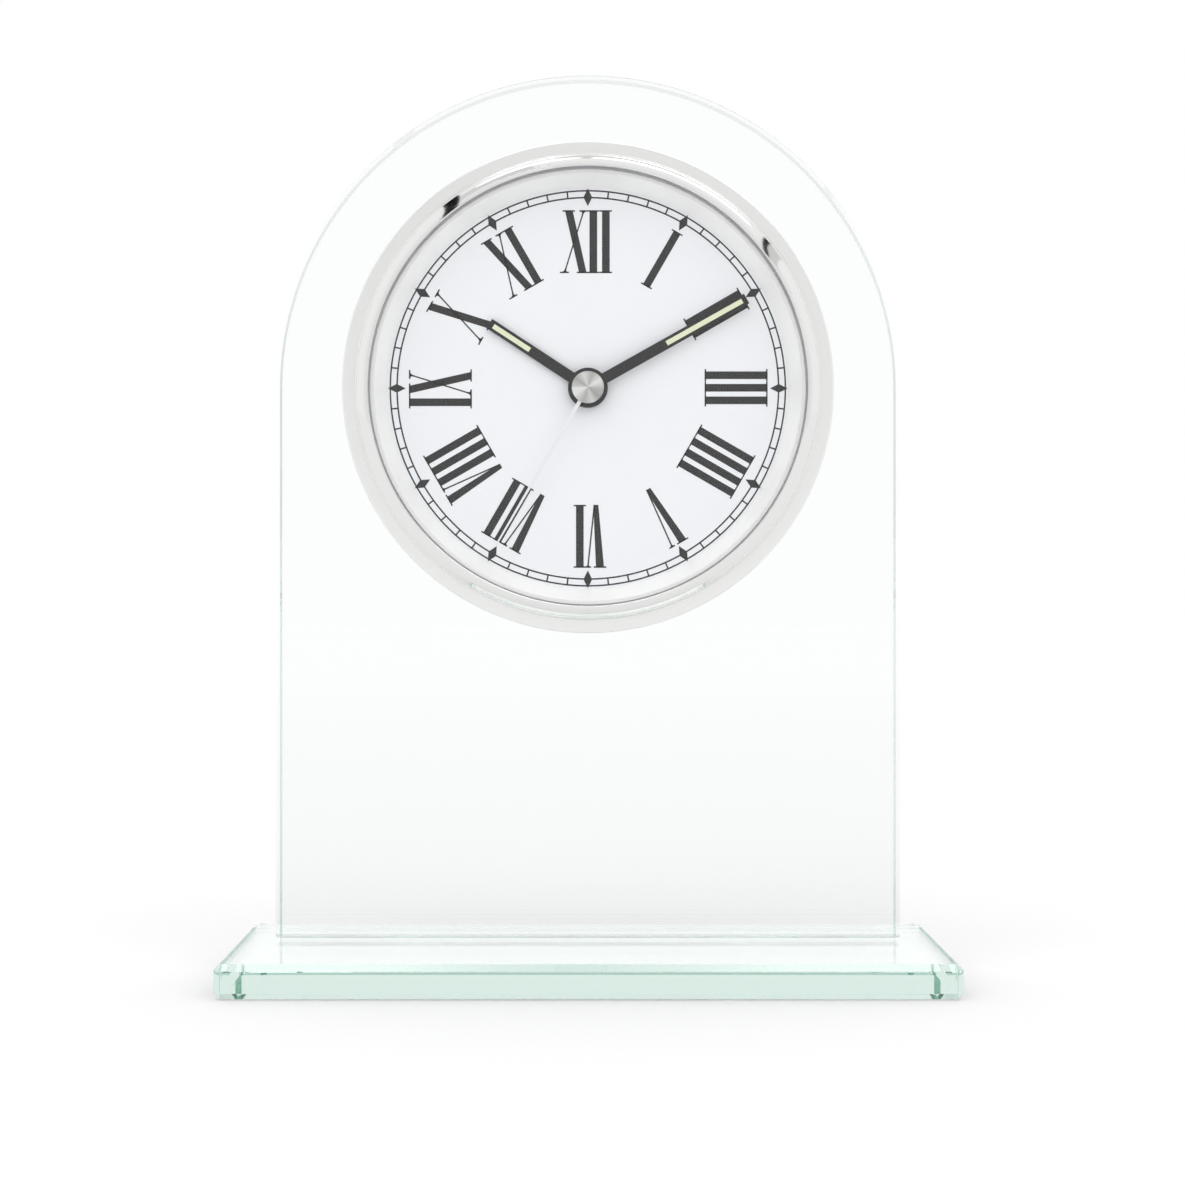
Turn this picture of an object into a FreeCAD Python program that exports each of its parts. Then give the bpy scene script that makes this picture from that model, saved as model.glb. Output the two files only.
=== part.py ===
import FreeCAD, Part
import math
import os

from FreeCAD import Vector

# An arched glass mantel clock: a clear glass arch on a glass base, with a round quartz insert clock
# in the arch.
# Millimetres, +Z up. The origin is the centre of the base's underside, and the dial faces -Y.
# Depths named ..._y are places along Y. The insert's pieces are made about its own axis and lifted
# at the end.

# Glass stand
overall_height = 164.0
base_width = 128.0
base_depth = 50.0
base_thickness = 6.0
base_arris = 1.1
base_corner_radius = 1.6
arch_width = 114.6
arch_thickness = 5.0
arch_setback = 31.5
arch_arris = 0.9
bond_thickness = 0.1
bond_inset = 0.3
hole_arris = 0.4

# Bezel, lens, reflector and dial
flange_overlap = 3.35
flange_thickness = 1.2
flange_edge_arris = 0.3
ring_overlap = 2.1
ring_wall_height = 1.1
ring_front_height = 2.8
ring_lip_width = 0.3
ring_lip_depth = 0.4
ring_crown_rise = 0.35
lens_overlap = 0.5
lens_thickness = 1.5
lens_clearance = 0.1
lens_setback = 0.9
reflector_lip_thickness = 0.9
reflector_width = 2.9
reflector_mouth_inset = 0.2
reflector_foot = 0.3
dial_thickness = 0.4
dial_depth = 3.6

# Cup and rubber ring that hold the insert in the glass
seat_clearance = 0.05
cup_room = 0.9
cup_wall = 1.2
cup_back_arris = 0.8
cup_ledge_thickness = 1.2
cup_back_depth = 12.7
grip_wall = 0.6
grip_rib_height = 0.5
grip_rib_width = 0.8
grip_rib_count = 3
grip_lip_reach = 1.4
grip_lip_thickness = 1.5

# Movement case
case_height = 56.0
case_depth = 15.1
case_corner_radius = 3.0
case_wall = 1.2
case_back_arris = 0.8
case_clearance = 0.2
plate_thickness = 1.2
plate_clearance = 0.1
ear_reach = 7.5
ear_height = 9.0
ear_thickness = 1.2
ear_hole_inset = 3.5
movement_screw_radius = 1.0
movement_screw_head_radius = 2.2
movement_screw_head_height = 1.1
movement_screw_clearance = 0.2

# Battery bay
cell_radius = 7.1
cell_body_length = 49.2
cell_nub_radius = 2.7
cell_nub_length = 1.0
cell_drop = 19.5
cell_gap = 0.2
cell_end_room = 1.7
thumb_notch_radius = 6.0
bay_divider = 1.0
contact_thickness = 0.4
contact_width = 9.0
contact_bump_radius = 2.0
contact_strip_width = 1.0

# Pipes and arbors on the clock's axis
second_arbor_radius = 0.5
minute_pipe_radius = 1.75
hour_pipe_radius = 2.5
running_clearance = 0.05
bushing_wall = 0.65
dial_hole_clearance = 0.1
bushing_proud = 0.5

# Hands
hand_thickness = 0.35
second_hand_thickness = 0.25
hour_hand_height = 0.6
minute_hand_height = 1.5
second_hand_height = 2.35
hour_hand_length = 21.65
minute_hand_tip_gap = 3.5
second_hand_tip_gap = 3.35
hour_hand_width = 2.0
minute_hand_width = 2.0
hour_lume_length = 8.0
minute_lume_length = 15.9
lume_width = 0.9
lume_tip_margin = 0.9
hand_boss_radius = 3.65
second_hub_width = 0.75
second_tip_width = 0.3
cap_radius = 2.95
cap_height = 0.7
cap_skirt = 0.25
hour_hand_angle = 303.2
minute_hand_angle = 60.7
second_hand_angle = 210.2

# Gear train
layer_gap = 0.3
wheel_thickness = 0.7
pinion_extra = 0.1
arbor_radius = 0.5
pivot_radius = 0.3
pivot_depth = 0.6
knob_arbor_radius = 0.9
clutch_spring_thickness = 0.25
clutch_spring_radius = 3.4
knob_arbor_distance = 10.0
third_arbor_distance = 9.6
intermediate_arbor_distance = 9.6
rotor_arbor_distance = 8.4
rotor_arbor_angle = 105.0
cannon_teeth = 10
minute_wheel_teeth = 30
minute_pinion_teeth = 8
hour_wheel_teeth = 32
centre_wheel_teeth = 64
third_pinion_teeth = 8
third_wheel_teeth = 60
second_pinion_teeth = 8
second_wheel_teeth = 40
intermediate_pinion_teeth = 8
intermediate_wheel_teeth = 48
rotor_pinion_teeth = 8
addendum_share = 0.8
dedendum_share = 1.1
tooth_root_share = 0.5
tooth_tip_share = 0.22

# Train bridge, motor and electronics
bridge_thickness = 1.0
bridge_side_gap = 0.6
bridge_low = 10.4
bridge_high = 15.0
post_radius = 1.6
post_wall_gap = 0.6
post_low = 4.0
post_high = 12.8
bridge_screw_radius = 0.7
bridge_screw_length = 4.0
bridge_screw_head_radius = 1.4
bridge_screw_head_height = 0.7
magnet_radius = 2.8
magnet_thickness = 1.2
magnet_gap = 0.5
magnet_bridge_gap = 0.2
stator_thickness = 0.8
stator_land = 2.6
stator_leg_width = 4.4
coil_height = 21.0
coil_length = 24.0
coil_core_height = 3.0
bobbin_wall = 0.6
bobbin_flange_thickness = 0.8
bobbin_flange_radius = 3.3
winding_radius = 2.9
winding_clearance = 0.1
board_thickness = 0.8
board_width = 6.4
board_high = 12.0
board_side_gap = 2.0
chip_radius = 2.0
chip_height = 0.7
crystal_radius = 0.9
crystal_length = 6.0

# Setting knob
knob_radius = 7.8
knob_proud = 0.9
knob_thickness = 3.0
knob_flutes = 30
knob_flute_depth = 0.5
knob_recess_clearance = 0.6
knob_floor_gap = 0.3
knob_finger_dish = 0.8

overrun = 1.0
same_place = 0.000001
parallel_share = 0.9

# Places worked out from the sizes
arch_radius = arch_width / 2
clock_z = overall_height - arch_radius
glass_front_y = arch_setback - base_depth / 2
glass_back_y = glass_front_y + arch_thickness
flange_front_y = glass_front_y - flange_thickness
ring_front_y = flange_front_y - ring_front_height
lens_front_y = ring_front_y + lens_setback
lens_back_y = lens_front_y + lens_thickness
dial_front_y = lens_back_y + dial_depth
dial_back_y = dial_front_y + dial_thickness
cell_length = cell_body_length + cell_nub_length
case_half_width = cell_length / 2 + cell_end_room + case_wall
case_half_height = case_height / 2
case_corner_reach = case_corner_radius + math.hypot(
    case_half_width - case_corner_radius, case_half_height - case_corner_radius
)
cup_bore_radius = case_corner_reach + cup_room
cup_ledge_radius = case_corner_reach + case_clearance
cup_radius = cup_bore_radius + cup_wall
grip_inner_radius = cup_radius + seat_clearance
grip_outer_radius = grip_inner_radius + grip_wall + grip_rib_height
hole_radius = grip_outer_radius + seat_clearance
flange_radius = hole_radius + flange_overlap
ring_radius = cup_radius + ring_overlap
lens_radius = cup_bore_radius + lens_overlap
reflector_throat_radius = lens_radius - reflector_width
minute_hand_length = reflector_throat_radius - minute_hand_tip_gap
second_hand_length = reflector_throat_radius - second_hand_tip_gap
cup_back_y = glass_front_y + cup_back_depth
cup_floor_y = cup_back_y - cup_wall
plate_inner_y = dial_back_y + plate_thickness
case_inner_x = case_half_width - case_wall
case_inner_z = case_half_height - case_wall
case_back_y = dial_back_y + case_depth
case_floor_y = case_back_y - case_wall
knob_back_y = case_back_y + knob_proud
ear_hole_x = case_half_width + ear_reach - ear_hole_inset
post_x = case_inner_x - post_wall_gap - post_radius
bridge_half_width = case_inner_x - bridge_side_gap
cell_y = dial_back_y + cell_radius + plate_thickness / 2
bay_top = cell_gap + cell_radius - cell_drop
bay_low = -cell_gap - cell_radius - cell_drop

# Layers of the train, from the dial side backwards
hour_layer = plate_inner_y + layer_gap
minute_layer = hour_layer + wheel_thickness + pinion_extra + layer_gap
centre_layer = (
    minute_layer + wheel_thickness + pinion_extra + clutch_spring_thickness + 2 * running_clearance
)
third_layer = centre_layer + wheel_thickness + pinion_extra + layer_gap
second_layer = third_layer + wheel_thickness + pinion_extra + layer_gap
intermediate_layer = second_layer + wheel_thickness + pinion_extra + layer_gap
magnet_front_y = intermediate_layer + wheel_thickness + pinion_extra + layer_gap
bridge_front_y = magnet_front_y + magnet_thickness + magnet_bridge_gap
bridge_back_y = bridge_front_y + bridge_thickness
knob_floor_y = knob_back_y - knob_thickness - knob_floor_gap

# Arbor places in the insert's plane, as x and z from its axis
centre_place = (0.0, 0.0)
knob_place = (0.0, knob_arbor_distance)
third_place = (third_arbor_distance, 0.0)
intermediate_place = (-intermediate_arbor_distance, 0.0)
rotor_turn = math.radians(rotor_arbor_angle)
rotor_place = (
    intermediate_place[0] + rotor_arbor_distance * math.cos(rotor_turn),
    intermediate_place[1] + rotor_arbor_distance * math.sin(rotor_turn),
)


# Shapes

def rod(radius, y_from, y_to, place=centre_place):
    """A round bar along Y."""
    return Part.makeCylinder(radius, y_to - y_from, Vector(place[0], y_from, place[1]), Vector(0, 1, 0))


def tube(outer, bore, y_from, y_to, place=centre_place):
    """A round bar along Y with a bore right through."""
    return rod(outer, y_from, y_to, place).cut(rod(bore, y_from - overrun, y_to + overrun, place))


def block(x_from, x_to, y_from, y_to, z_from, z_to):
    """A box between two places on each axis."""
    return Part.makeBox(x_to - x_from, y_to - y_from, z_to - z_from, Vector(x_from, y_from, z_from))


def rounded_block(half_width, half_height, corner, y_from, y_to):
    """A plate across Y, centred on the insert's axis, whose four corners are rounded."""
    plate = block(-half_width, half_width, y_from, y_to, -half_height, half_height)
    corners = [edge for edge in plate.Edges if abs(edge.tangentAt(edge.FirstParameter).y) > parallel_share]
    return plate.makeFillet(corner, corners)


def turned(points):
    """A ring turned about the Y axis from corner points of radius and depth."""
    corners = [Vector(radius, y, 0) for radius, y in points]
    face = Part.Face(Part.makePolygon(corners + corners[:1]))
    return face.revolve(Vector(0, 0, 0), Vector(0, 1, 0), 360)


def edges_at(shape, y):
    """The edges that lie wholly at one depth."""
    return [
        edge
        for edge in shape.Edges
        if abs(edge.BoundBox.YMin - y) < same_place and abs(edge.BoundBox.YMax - y) < same_place
    ]


def toothed(teeth, tip_radius, root_radius, tip_share, root_share, y_from, y_to, place, phase):
    """A toothed disc, with one tooth centred on the phase angle."""
    pitch_angle = 2 * math.pi / teeth
    corners = []
    for number in range(teeth):
        middle = phase + number * pitch_angle
        for radius, offset in (
            (root_radius, -root_share / 2),
            (tip_radius, -tip_share / 2),
            (tip_radius, tip_share / 2),
            (root_radius, root_share / 2),
        ):
            angle = middle + offset * pitch_angle
            corners.append(
                Vector(place[0] + radius * math.cos(angle), y_from, place[1] + radius * math.sin(angle))
            )
    face = Part.Face(Part.makePolygon(corners + corners[:1]))
    return face.extrude(Vector(0, y_to - y_from, 0))


def gear(teeth, mate_teeth, place, mate_place, y_from, y_to, gap_to_mate):
    """A gear in mesh with its mate. It turns a tooth or a gap to the mate."""
    distance = math.dist(place, mate_place)
    module = 2 * distance / (teeth + mate_teeth)
    pitch_radius = module * teeth / 2
    phase = math.atan2(mate_place[1] - place[1], mate_place[0] - place[0])
    if gap_to_mate:
        phase += math.pi / teeth
    return toothed(
        teeth,
        pitch_radius + addendum_share * module,
        pitch_radius - dedendum_share * module,
        tooth_tip_share,
        tooth_root_share,
        y_from,
        y_to,
        place,
        phase,
    )


def wheel(teeth, mate_teeth, place, mate_place, layer_y):
    """A wheel, one wheel thickness wide, that turns a gap to its pinion."""
    return gear(teeth, mate_teeth, place, mate_place, layer_y, layer_y + wheel_thickness, True)


def pinion(teeth, mate_teeth, place, mate_place, layer_y):
    """A pinion, a little wider than its wheel on both sides."""
    y_from = layer_y - pinion_extra
    y_to = layer_y + wheel_thickness + pinion_extra
    return gear(teeth, mate_teeth, place, mate_place, y_from, y_to, False)


def arbor(place, radius=arbor_radius):
    """An arbor between the front plate and the bridge, with a pivot at each end."""
    body = rod(radius, plate_inner_y + running_clearance, bridge_front_y - running_clearance, place)
    pivots = rod(pivot_radius, plate_inner_y - pivot_depth, bridge_front_y + pivot_depth, place)
    return body.fuse(pivots)


def clockwise(shape, degrees):
    """Turns a hand made pointing up to its clock angle."""
    turned_shape = shape.copy()
    turned_shape.rotate(Vector(0, 0, 0), Vector(0, 1, 0), degrees)
    return turned_shape


# Glass stand

def glass_base():
    slab = block(-base_width / 2, base_width / 2, -base_depth / 2, base_depth / 2, 0, base_thickness)
    uprights = [edge for edge in slab.Edges if abs(edge.tangentAt(edge.FirstParameter).z) > parallel_share]
    slab = slab.makeFillet(base_corner_radius, uprights)
    rims = [edge for edge in slab.Edges if edge.BoundBox.ZLength < base_thickness / 2]
    return slab.makeChamfer(base_arris, rims)


def bond_film():
    half_width = arch_width / 2 - bond_inset
    y_from = glass_front_y + bond_inset
    y_to = glass_back_y - bond_inset
    return block(-half_width, half_width, y_from, y_to, base_thickness, base_thickness + bond_thickness)


def glass_arch():
    foot = base_thickness + bond_thickness
    left_foot = Vector(-arch_radius, glass_front_y, foot)
    right_foot = Vector(arch_radius, glass_front_y, foot)
    right_spring = Vector(arch_radius, glass_front_y, clock_z)
    crown = Vector(0, glass_front_y, overall_height)
    left_spring = Vector(-arch_radius, glass_front_y, clock_z)
    outline = Part.Wire([
        Part.LineSegment(left_foot, right_foot).toShape(),
        Part.LineSegment(right_foot, right_spring).toShape(),
        Part.Arc(right_spring, crown, left_spring).toShape(),
        Part.LineSegment(left_spring, left_foot).toShape(),
    ])
    plate = Part.Face(outline).extrude(Vector(0, arch_thickness, 0))
    rims = [
        edge
        for y in (glass_front_y, glass_back_y)
        for edge in edges_at(plate, y)
        if edge.BoundBox.ZMax > foot + base_arris
    ]
    plate = plate.makeChamfer(arch_arris, rims)
    hole = rod(hole_radius, glass_front_y - overrun, glass_back_y + overrun, (0.0, clock_z))
    plate = plate.cut(hole)
    hole_rims = [
        edge
        for y in (glass_front_y, glass_back_y)
        for edge in edges_at(plate, y)
        if abs(edge.BoundBox.XLength - 2 * hole_radius) < seat_clearance
    ]
    return plate.makeChamfer(hole_arris, hole_rims)


# Front of the insert

def bezel_flange():
    bore = cup_radius + seat_clearance
    return turned([
        (bore, glass_front_y),
        (flange_radius, glass_front_y),
        (flange_radius, flange_front_y + flange_edge_arris),
        (flange_radius - flange_edge_arris, flange_front_y),
        (bore, flange_front_y),
    ])


def bezel_ring():
    """The polished ring: an upright outer wall, a crowned front and a narrow lip round the lens."""
    bore = lens_radius + lens_clearance
    back_inner = Vector(bore, flange_front_y, 0)
    back_outer = Vector(ring_radius, flange_front_y, 0)
    crown_outer = Vector(ring_radius, flange_front_y - ring_wall_height, 0)
    crown_inner = Vector(bore + ring_lip_width, ring_front_y, 0)
    lip = Vector(bore, ring_front_y + ring_lip_depth, 0)
    chord = crown_inner - crown_outer
    outward = Vector(-chord.y, chord.x, 0).normalize() * ring_crown_rise
    crown_top = (crown_outer + crown_inner) * 0.5 + outward
    section = Part.Wire([
        Part.LineSegment(back_inner, back_outer).toShape(),
        Part.LineSegment(back_outer, crown_outer).toShape(),
        Part.Arc(crown_outer, crown_top, crown_inner).toShape(),
        Part.LineSegment(crown_inner, lip).toShape(),
        Part.LineSegment(lip, back_inner).toShape(),
    ])
    return Part.Face(section).revolve(Vector(0, 0, 0), Vector(0, 1, 0), 360)


def lens():
    return rod(lens_radius, lens_front_y, lens_back_y)


def reflector_ring():
    """The conical ring from the lens down to the dial."""
    mouth = cup_bore_radius - reflector_mouth_inset
    inner_fit = cup_bore_radius - seat_clearance
    shoulder_y = lens_back_y + reflector_lip_thickness
    return turned([
        (mouth, lens_back_y),
        (lens_radius, lens_back_y),
        (lens_radius, shoulder_y),
        (inner_fit, shoulder_y),
        (inner_fit, dial_front_y),
        (reflector_throat_radius, dial_front_y),
        (reflector_throat_radius, dial_front_y - reflector_foot),
    ])


def dial():
    hole = hour_pipe_radius + running_clearance + bushing_wall + dial_hole_clearance
    return tube(cup_bore_radius - seat_clearance, hole, dial_front_y, dial_back_y)


# Cup and rubber ring

def rear_cup():
    ledge_back_y = dial_back_y + cup_ledge_thickness
    cup = turned([
        (cup_bore_radius, lens_back_y + reflector_lip_thickness),
        (cup_radius, lens_back_y + reflector_lip_thickness),
        (cup_radius, cup_back_y - cup_back_arris),
        (cup_radius - cup_back_arris, cup_back_y),
        (0, cup_back_y),
        (0, cup_floor_y),
        (cup_bore_radius, cup_floor_y),
        (cup_bore_radius, ledge_back_y),
        (cup_ledge_radius, ledge_back_y),
        (cup_ledge_radius, dial_back_y),
        (cup_bore_radius, dial_back_y),
    ])
    half_width = case_half_width + case_clearance
    half_height = case_half_height + case_clearance
    corner = case_corner_radius + case_clearance
    window_from = cup_floor_y - overrun
    window_to = cup_back_y + overrun
    cup = cup.cut(rounded_block(half_width, half_height, corner, window_from, window_to))
    screw_hole = movement_screw_radius + movement_screw_clearance
    for side in (-1, 1):
        place = (side * ear_hole_x, 0)
        cup = cup.cut(rod(screw_hole, cup_floor_y - overrun, cup_back_y + overrun, place))
    return cup


def grip_ring():
    """The rubber band round the cup: ribs that press in the hole and a lip behind the glass."""
    wall_radius = grip_inner_radius + grip_wall
    front_y = glass_front_y + seat_clearance
    lip_front_y = glass_back_y + seat_clearance
    lip_back_y = lip_front_y + grip_lip_thickness
    points = [(grip_inner_radius, front_y), (wall_radius, front_y)]
    pitch = (lip_front_y - front_y) / (grip_rib_count + 1)
    for number in range(1, grip_rib_count + 1):
        middle = front_y + number * pitch
        points.append((wall_radius, middle - grip_rib_width / 2))
        points.append((grip_outer_radius, middle))
        points.append((wall_radius, middle + grip_rib_width / 2))
    points += [
        (wall_radius, lip_front_y),
        (hole_radius + grip_lip_reach, lip_front_y),
        (wall_radius, lip_back_y),
        (grip_inner_radius, lip_back_y),
    ]
    return turned(points)


# Movement case

def movement_front_plate():
    """The plate behind the dial: centre bushing, pivot holes, bridge posts and a groove for the cell."""
    half_width = case_inner_x - plate_clearance
    half_height = case_inner_z - plate_clearance
    corner = case_corner_radius - case_wall
    plate = rounded_block(half_width, half_height, corner, dial_back_y, plate_inner_y)
    bushing_bore = hour_pipe_radius + running_clearance
    bushing = rod(bushing_bore + bushing_wall, dial_front_y - bushing_proud, plate_inner_y)
    plate = plate.fuse(bushing)
    posts = [rod(post_radius, plate_inner_y, bridge_front_y, place) for place in post_places()]
    plate = plate.fuse(posts)
    plate = plate.cut(rod(bushing_bore, dial_front_y - bushing_proud - overrun, plate_inner_y + overrun))
    for place in (third_place, intermediate_place, rotor_place):
        plate = plate.cut(pivot_hole(plate_inner_y, -1, pivot_radius, place))
    plate = plate.cut(pivot_hole(plate_inner_y, -1, knob_arbor_radius, knob_place))
    for place in post_places():
        plate = plate.cut(post_bore(place))
    groove = rod(cell_radius + cell_gap, -half_width, half_width)
    groove.rotate(Vector(0, 0, 0), Vector(0, 0, 1), 90)
    groove.translate(Vector(0, cell_y, -cell_drop))
    return plate.cut(groove)


def post_places():
    return [(side * post_x, z) for side in (-1, 1) for z in (-post_low, post_high)]


def post_bore(place):
    """The blind hole in a bridge post for its screw."""
    depth = bridge_screw_length - bridge_thickness + running_clearance
    bore = bridge_screw_radius + running_clearance
    return rod(bore, bridge_front_y - depth, bridge_front_y + overrun, place)


def pivot_hole(face_y, side, radius, place):
    """A blind hole into a plate, on one side of its face, for a pivot."""
    deep_y = face_y + side * (pivot_depth + running_clearance)
    mouth_y = face_y - side * overrun
    return rod(radius + running_clearance, min(deep_y, mouth_y), max(deep_y, mouth_y), place)


def movement_back_case():
    """The box over the train, with the battery bay open behind, the knob's recess and two fixing ears."""
    case = rounded_block(case_half_width, case_half_height, case_corner_radius, dial_back_y, case_back_y)
    case = case.makeChamfer(case_back_arris, edges_at(case, case_back_y))
    reach = case_half_width + ear_reach
    ear_half = ear_height / 2
    case = case.fuse(block(-reach, reach, cup_floor_y - ear_thickness, cup_floor_y, -ear_half, ear_half))
    side = case_inner_x
    top = case_inner_z
    case = case.cut(block(-side, side, dial_back_y - overrun, plate_inner_y, -top, top))
    case = case.cut(block(-side, side, plate_inner_y - overrun, case_floor_y, bay_top + bay_divider, top))
    bay_back_y = case_back_y + overrun
    case = case.cut(block(-side, side, plate_inner_y - overrun, bay_back_y, bay_low, bay_top))
    notch_foot = Vector(0, case_back_y, -case_half_height - overrun)
    notch_depth = case_wall + 2 * overrun
    case = case.cut(Part.makeCylinder(thumb_notch_radius, notch_depth, notch_foot, Vector(0, 0, 1)))
    recess_radius = knob_radius + knob_recess_clearance
    recess_back_y = knob_floor_y - case_wall
    case = case.fuse(rod(recess_radius + case_wall, recess_back_y, case_floor_y, knob_place))
    case = case.cut(rod(recess_radius, knob_floor_y, case_back_y + overrun, knob_place))
    arbor_hole = knob_arbor_radius + running_clearance
    case = case.cut(rod(arbor_hole, recess_back_y - overrun, knob_floor_y + overrun, knob_place))
    for side in (-1, 1):
        hole = rod(movement_screw_radius + running_clearance, cup_floor_y - ear_thickness - overrun,
                   cup_floor_y + overrun, (side * ear_hole_x, 0))
        case = case.cut(hole)
        notch = contact_blade(side, running_clearance)
        case = case.cut(notch)
    return case.removeSplitter()


def movement_screws():
    """The two screws through the cup's back wall into the movement's ears."""
    screws = []
    for side in (-1, 1):
        place = (side * ear_hole_x, 0)
        shank = rod(movement_screw_radius, cup_floor_y - ear_thickness, cup_back_y, place)
        head = rod(movement_screw_head_radius, cup_back_y, cup_back_y + movement_screw_head_height, place)
        screws.append(shank.fuse(head))
    return Part.makeCompound(screws)


# Battery

def battery_cell():
    body_x = -cell_length / 2
    centre = Vector(body_x, cell_y, -cell_drop)
    body = Part.makeCylinder(cell_radius, cell_body_length, centre, Vector(1, 0, 0))
    nub_base = Vector(body_x + cell_body_length, cell_y, -cell_drop)
    nub = Part.makeCylinder(cell_nub_radius, cell_nub_length, nub_base, Vector(1, 0, 0))
    return body.fuse(nub)


def contact_blade(side, margin):
    """The upright sheet at one end of the bay, or with a margin the slot for it."""
    outer = case_inner_x - running_clearance + margin
    inner = outer - contact_thickness - 2 * margin
    low = -cell_drop - contact_width / 2
    high = strip_top()
    x_from = min(side * inner, side * outer)
    x_to = max(side * inner, side * outer)
    y_to = contact_back_y() + margin
    return block(x_from, x_to, plate_inner_y + running_clearance - margin, y_to, low, high)


def contact_back_y():
    return bridge_back_y + contact_thickness


def strip_top():
    return bay_top + bay_divider + contact_strip_width + running_clearance


def contact(side, far_x):
    """A battery contact: blade, bump against the cell and a strip over to the board."""
    blade = contact_blade(side, 0.0)
    blade_x = side * (case_inner_x - running_clearance - contact_thickness)
    cell_end = side * cell_length / 2
    bump = Part.makeCylinder(
        contact_bump_radius,
        abs(blade_x - cell_end),
        Vector(min(blade_x, cell_end), cell_y, -cell_drop),
        Vector(1, 0, 0),
    )
    strip = block(
        min(far_x, blade_x),
        max(far_x, blade_x),
        bridge_back_y,
        contact_back_y(),
        strip_top() - contact_strip_width,
        strip_top(),
    )
    return blade.fuse([bump, strip])


def board_left():
    return knob_radius + knob_recess_clearance + case_wall + board_side_gap


def positive_contact():
    return contact(1, board_left() + board_width)


def negative_contact():
    return contact(-1, board_left())


# Bridge, motor and electronics

def train_bridge():
    half_width = bridge_half_width
    bridge = block(-half_width, half_width, bridge_front_y, bridge_back_y, -bridge_low, bridge_high)
    for place in (third_place, intermediate_place, rotor_place, centre_place):
        bridge = bridge.cut(rod(pivot_radius + running_clearance, bridge_front_y - overrun,
                                bridge_back_y + overrun, place))
    bridge = bridge.cut(rod(knob_arbor_radius + seat_clearance, bridge_front_y - overrun,
                            bridge_back_y + overrun, knob_place))
    for place in post_places():
        bridge = bridge.cut(rod(bridge_screw_radius + seat_clearance, bridge_front_y - overrun,
                                bridge_back_y + overrun, place))
    return bridge


def bridge_screws():
    screws = []
    for place in post_places():
        shank_y = bridge_back_y - bridge_screw_length
        head_y = bridge_back_y + bridge_screw_head_height
        shank = rod(bridge_screw_radius, shank_y, bridge_back_y, place)
        screws.append(shank.fuse(rod(bridge_screw_head_radius, bridge_back_y, head_y, place)))
    return Part.makeCompound(screws)


def stator():
    """The laminated yoke: an eye round the rotor and two legs up to the ends of the coil core."""
    y_to = bridge_front_y
    y_from = y_to - stator_thickness
    eye_radius = magnet_radius + magnet_gap + stator_land
    leg_left = rotor_place[0] - eye_radius
    leg_right = leg_left + coil_length + 2 * stator_leg_width
    leg_top = coil_height + coil_core_height / 2
    arm_low = knob_arbor_distance + knob_arbor_radius + stator_land
    eye = rod(eye_radius, y_from, y_to, rotor_place)
    left = block(leg_left, leg_left + stator_leg_width, y_from, y_to, rotor_place[1], leg_top)
    arm_high = arm_low + stator_land
    arm = block(leg_left, leg_right, y_from, y_to, arm_low, arm_high)
    neck = block(rotor_place[0], rotor_place[0] + eye_radius, y_from, y_to, rotor_place[1], arm_high)
    right = block(leg_right - stator_leg_width, leg_right, y_from, y_to, arm_low, leg_top)
    slot_left = leg_left + stator_leg_width
    slot = block(slot_left, rotor_place[0] + magnet_gap, y_from - overrun, y_to + overrun,
                 rotor_place[1] + eye_radius, arm_high + overrun)
    yoke = eye.fuse([left, neck, arm, right]).cut(slot)
    yoke = yoke.cut(rod(magnet_radius + magnet_gap, y_from - overrun, y_to + overrun, rotor_place))
    return yoke.removeSplitter()


def coil_middle():
    """The coil's centre: x along the top of the yoke, and depth."""
    eye_radius = magnet_radius + magnet_gap + stator_land
    x = rotor_place[0] - eye_radius + stator_leg_width + coil_length / 2
    y = bridge_front_y - stator_thickness - stator_thickness / 2
    return x, y


def coil_core():
    """The bar through the bobbin that closes the yoke."""
    x, y = coil_middle()
    half = coil_length / 2 + stator_leg_width
    core_half = coil_core_height / 2
    return block(x - half, x + half, y - stator_thickness / 2, y + stator_thickness / 2,
                 coil_height - core_half, coil_height + core_half)


def bar_along_x(radius, x_from, x_to, y, z):
    return Part.makeCylinder(radius, x_to - x_from, Vector(x_from, y, z), Vector(1, 0, 0))


def coil_bobbin():
    x, y = coil_middle()
    half = coil_length / 2 - running_clearance
    sleeve = coil_core_height / 2 + bobbin_wall
    body = bar_along_x(sleeve, x - half, x + half, y, coil_height)
    for start in (x - half, x + half - bobbin_flange_thickness):
        flange = bar_along_x(bobbin_flange_radius, start, start + bobbin_flange_thickness, y, coil_height)
        body = body.fuse(flange)
    core_half = coil_core_height / 2 + running_clearance
    thick_half = stator_thickness / 2 + running_clearance
    passage = block(x - half - overrun, x + half + overrun, y - thick_half, y + thick_half,
                    coil_height - core_half, coil_height + core_half)
    return body.cut(passage)


def coil_winding():
    x, y = coil_middle()
    half = coil_length / 2 - running_clearance - bobbin_flange_thickness - winding_clearance
    sleeve = coil_core_height / 2 + bobbin_wall
    outer = bar_along_x(winding_radius, x - half, x + half, y, coil_height)
    bore = sleeve + running_clearance
    return outer.cut(bar_along_x(bore, x - half - overrun, x + half + overrun, y, coil_height))


def circuit_board():
    left = board_left()
    return block(left, left + board_width, bridge_back_y, bridge_back_y + board_thickness,
                 strip_top() + running_clearance, board_high)


def board_centre_x():
    return board_left() + board_width / 2


def control_chip():
    place = (board_centre_x(), chip_radius)
    face_y = bridge_back_y + board_thickness
    return rod(chip_radius, face_y, face_y + chip_height, place)


def quartz_crystal():
    face_y = bridge_back_y + board_thickness
    foot = board_high - crystal_length - crystal_radius
    start = Vector(board_centre_x(), face_y + crystal_radius, foot)
    return Part.makeCylinder(crystal_radius, crystal_length, start, Vector(0, 0, 1))


# Turning pieces of the train

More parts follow.
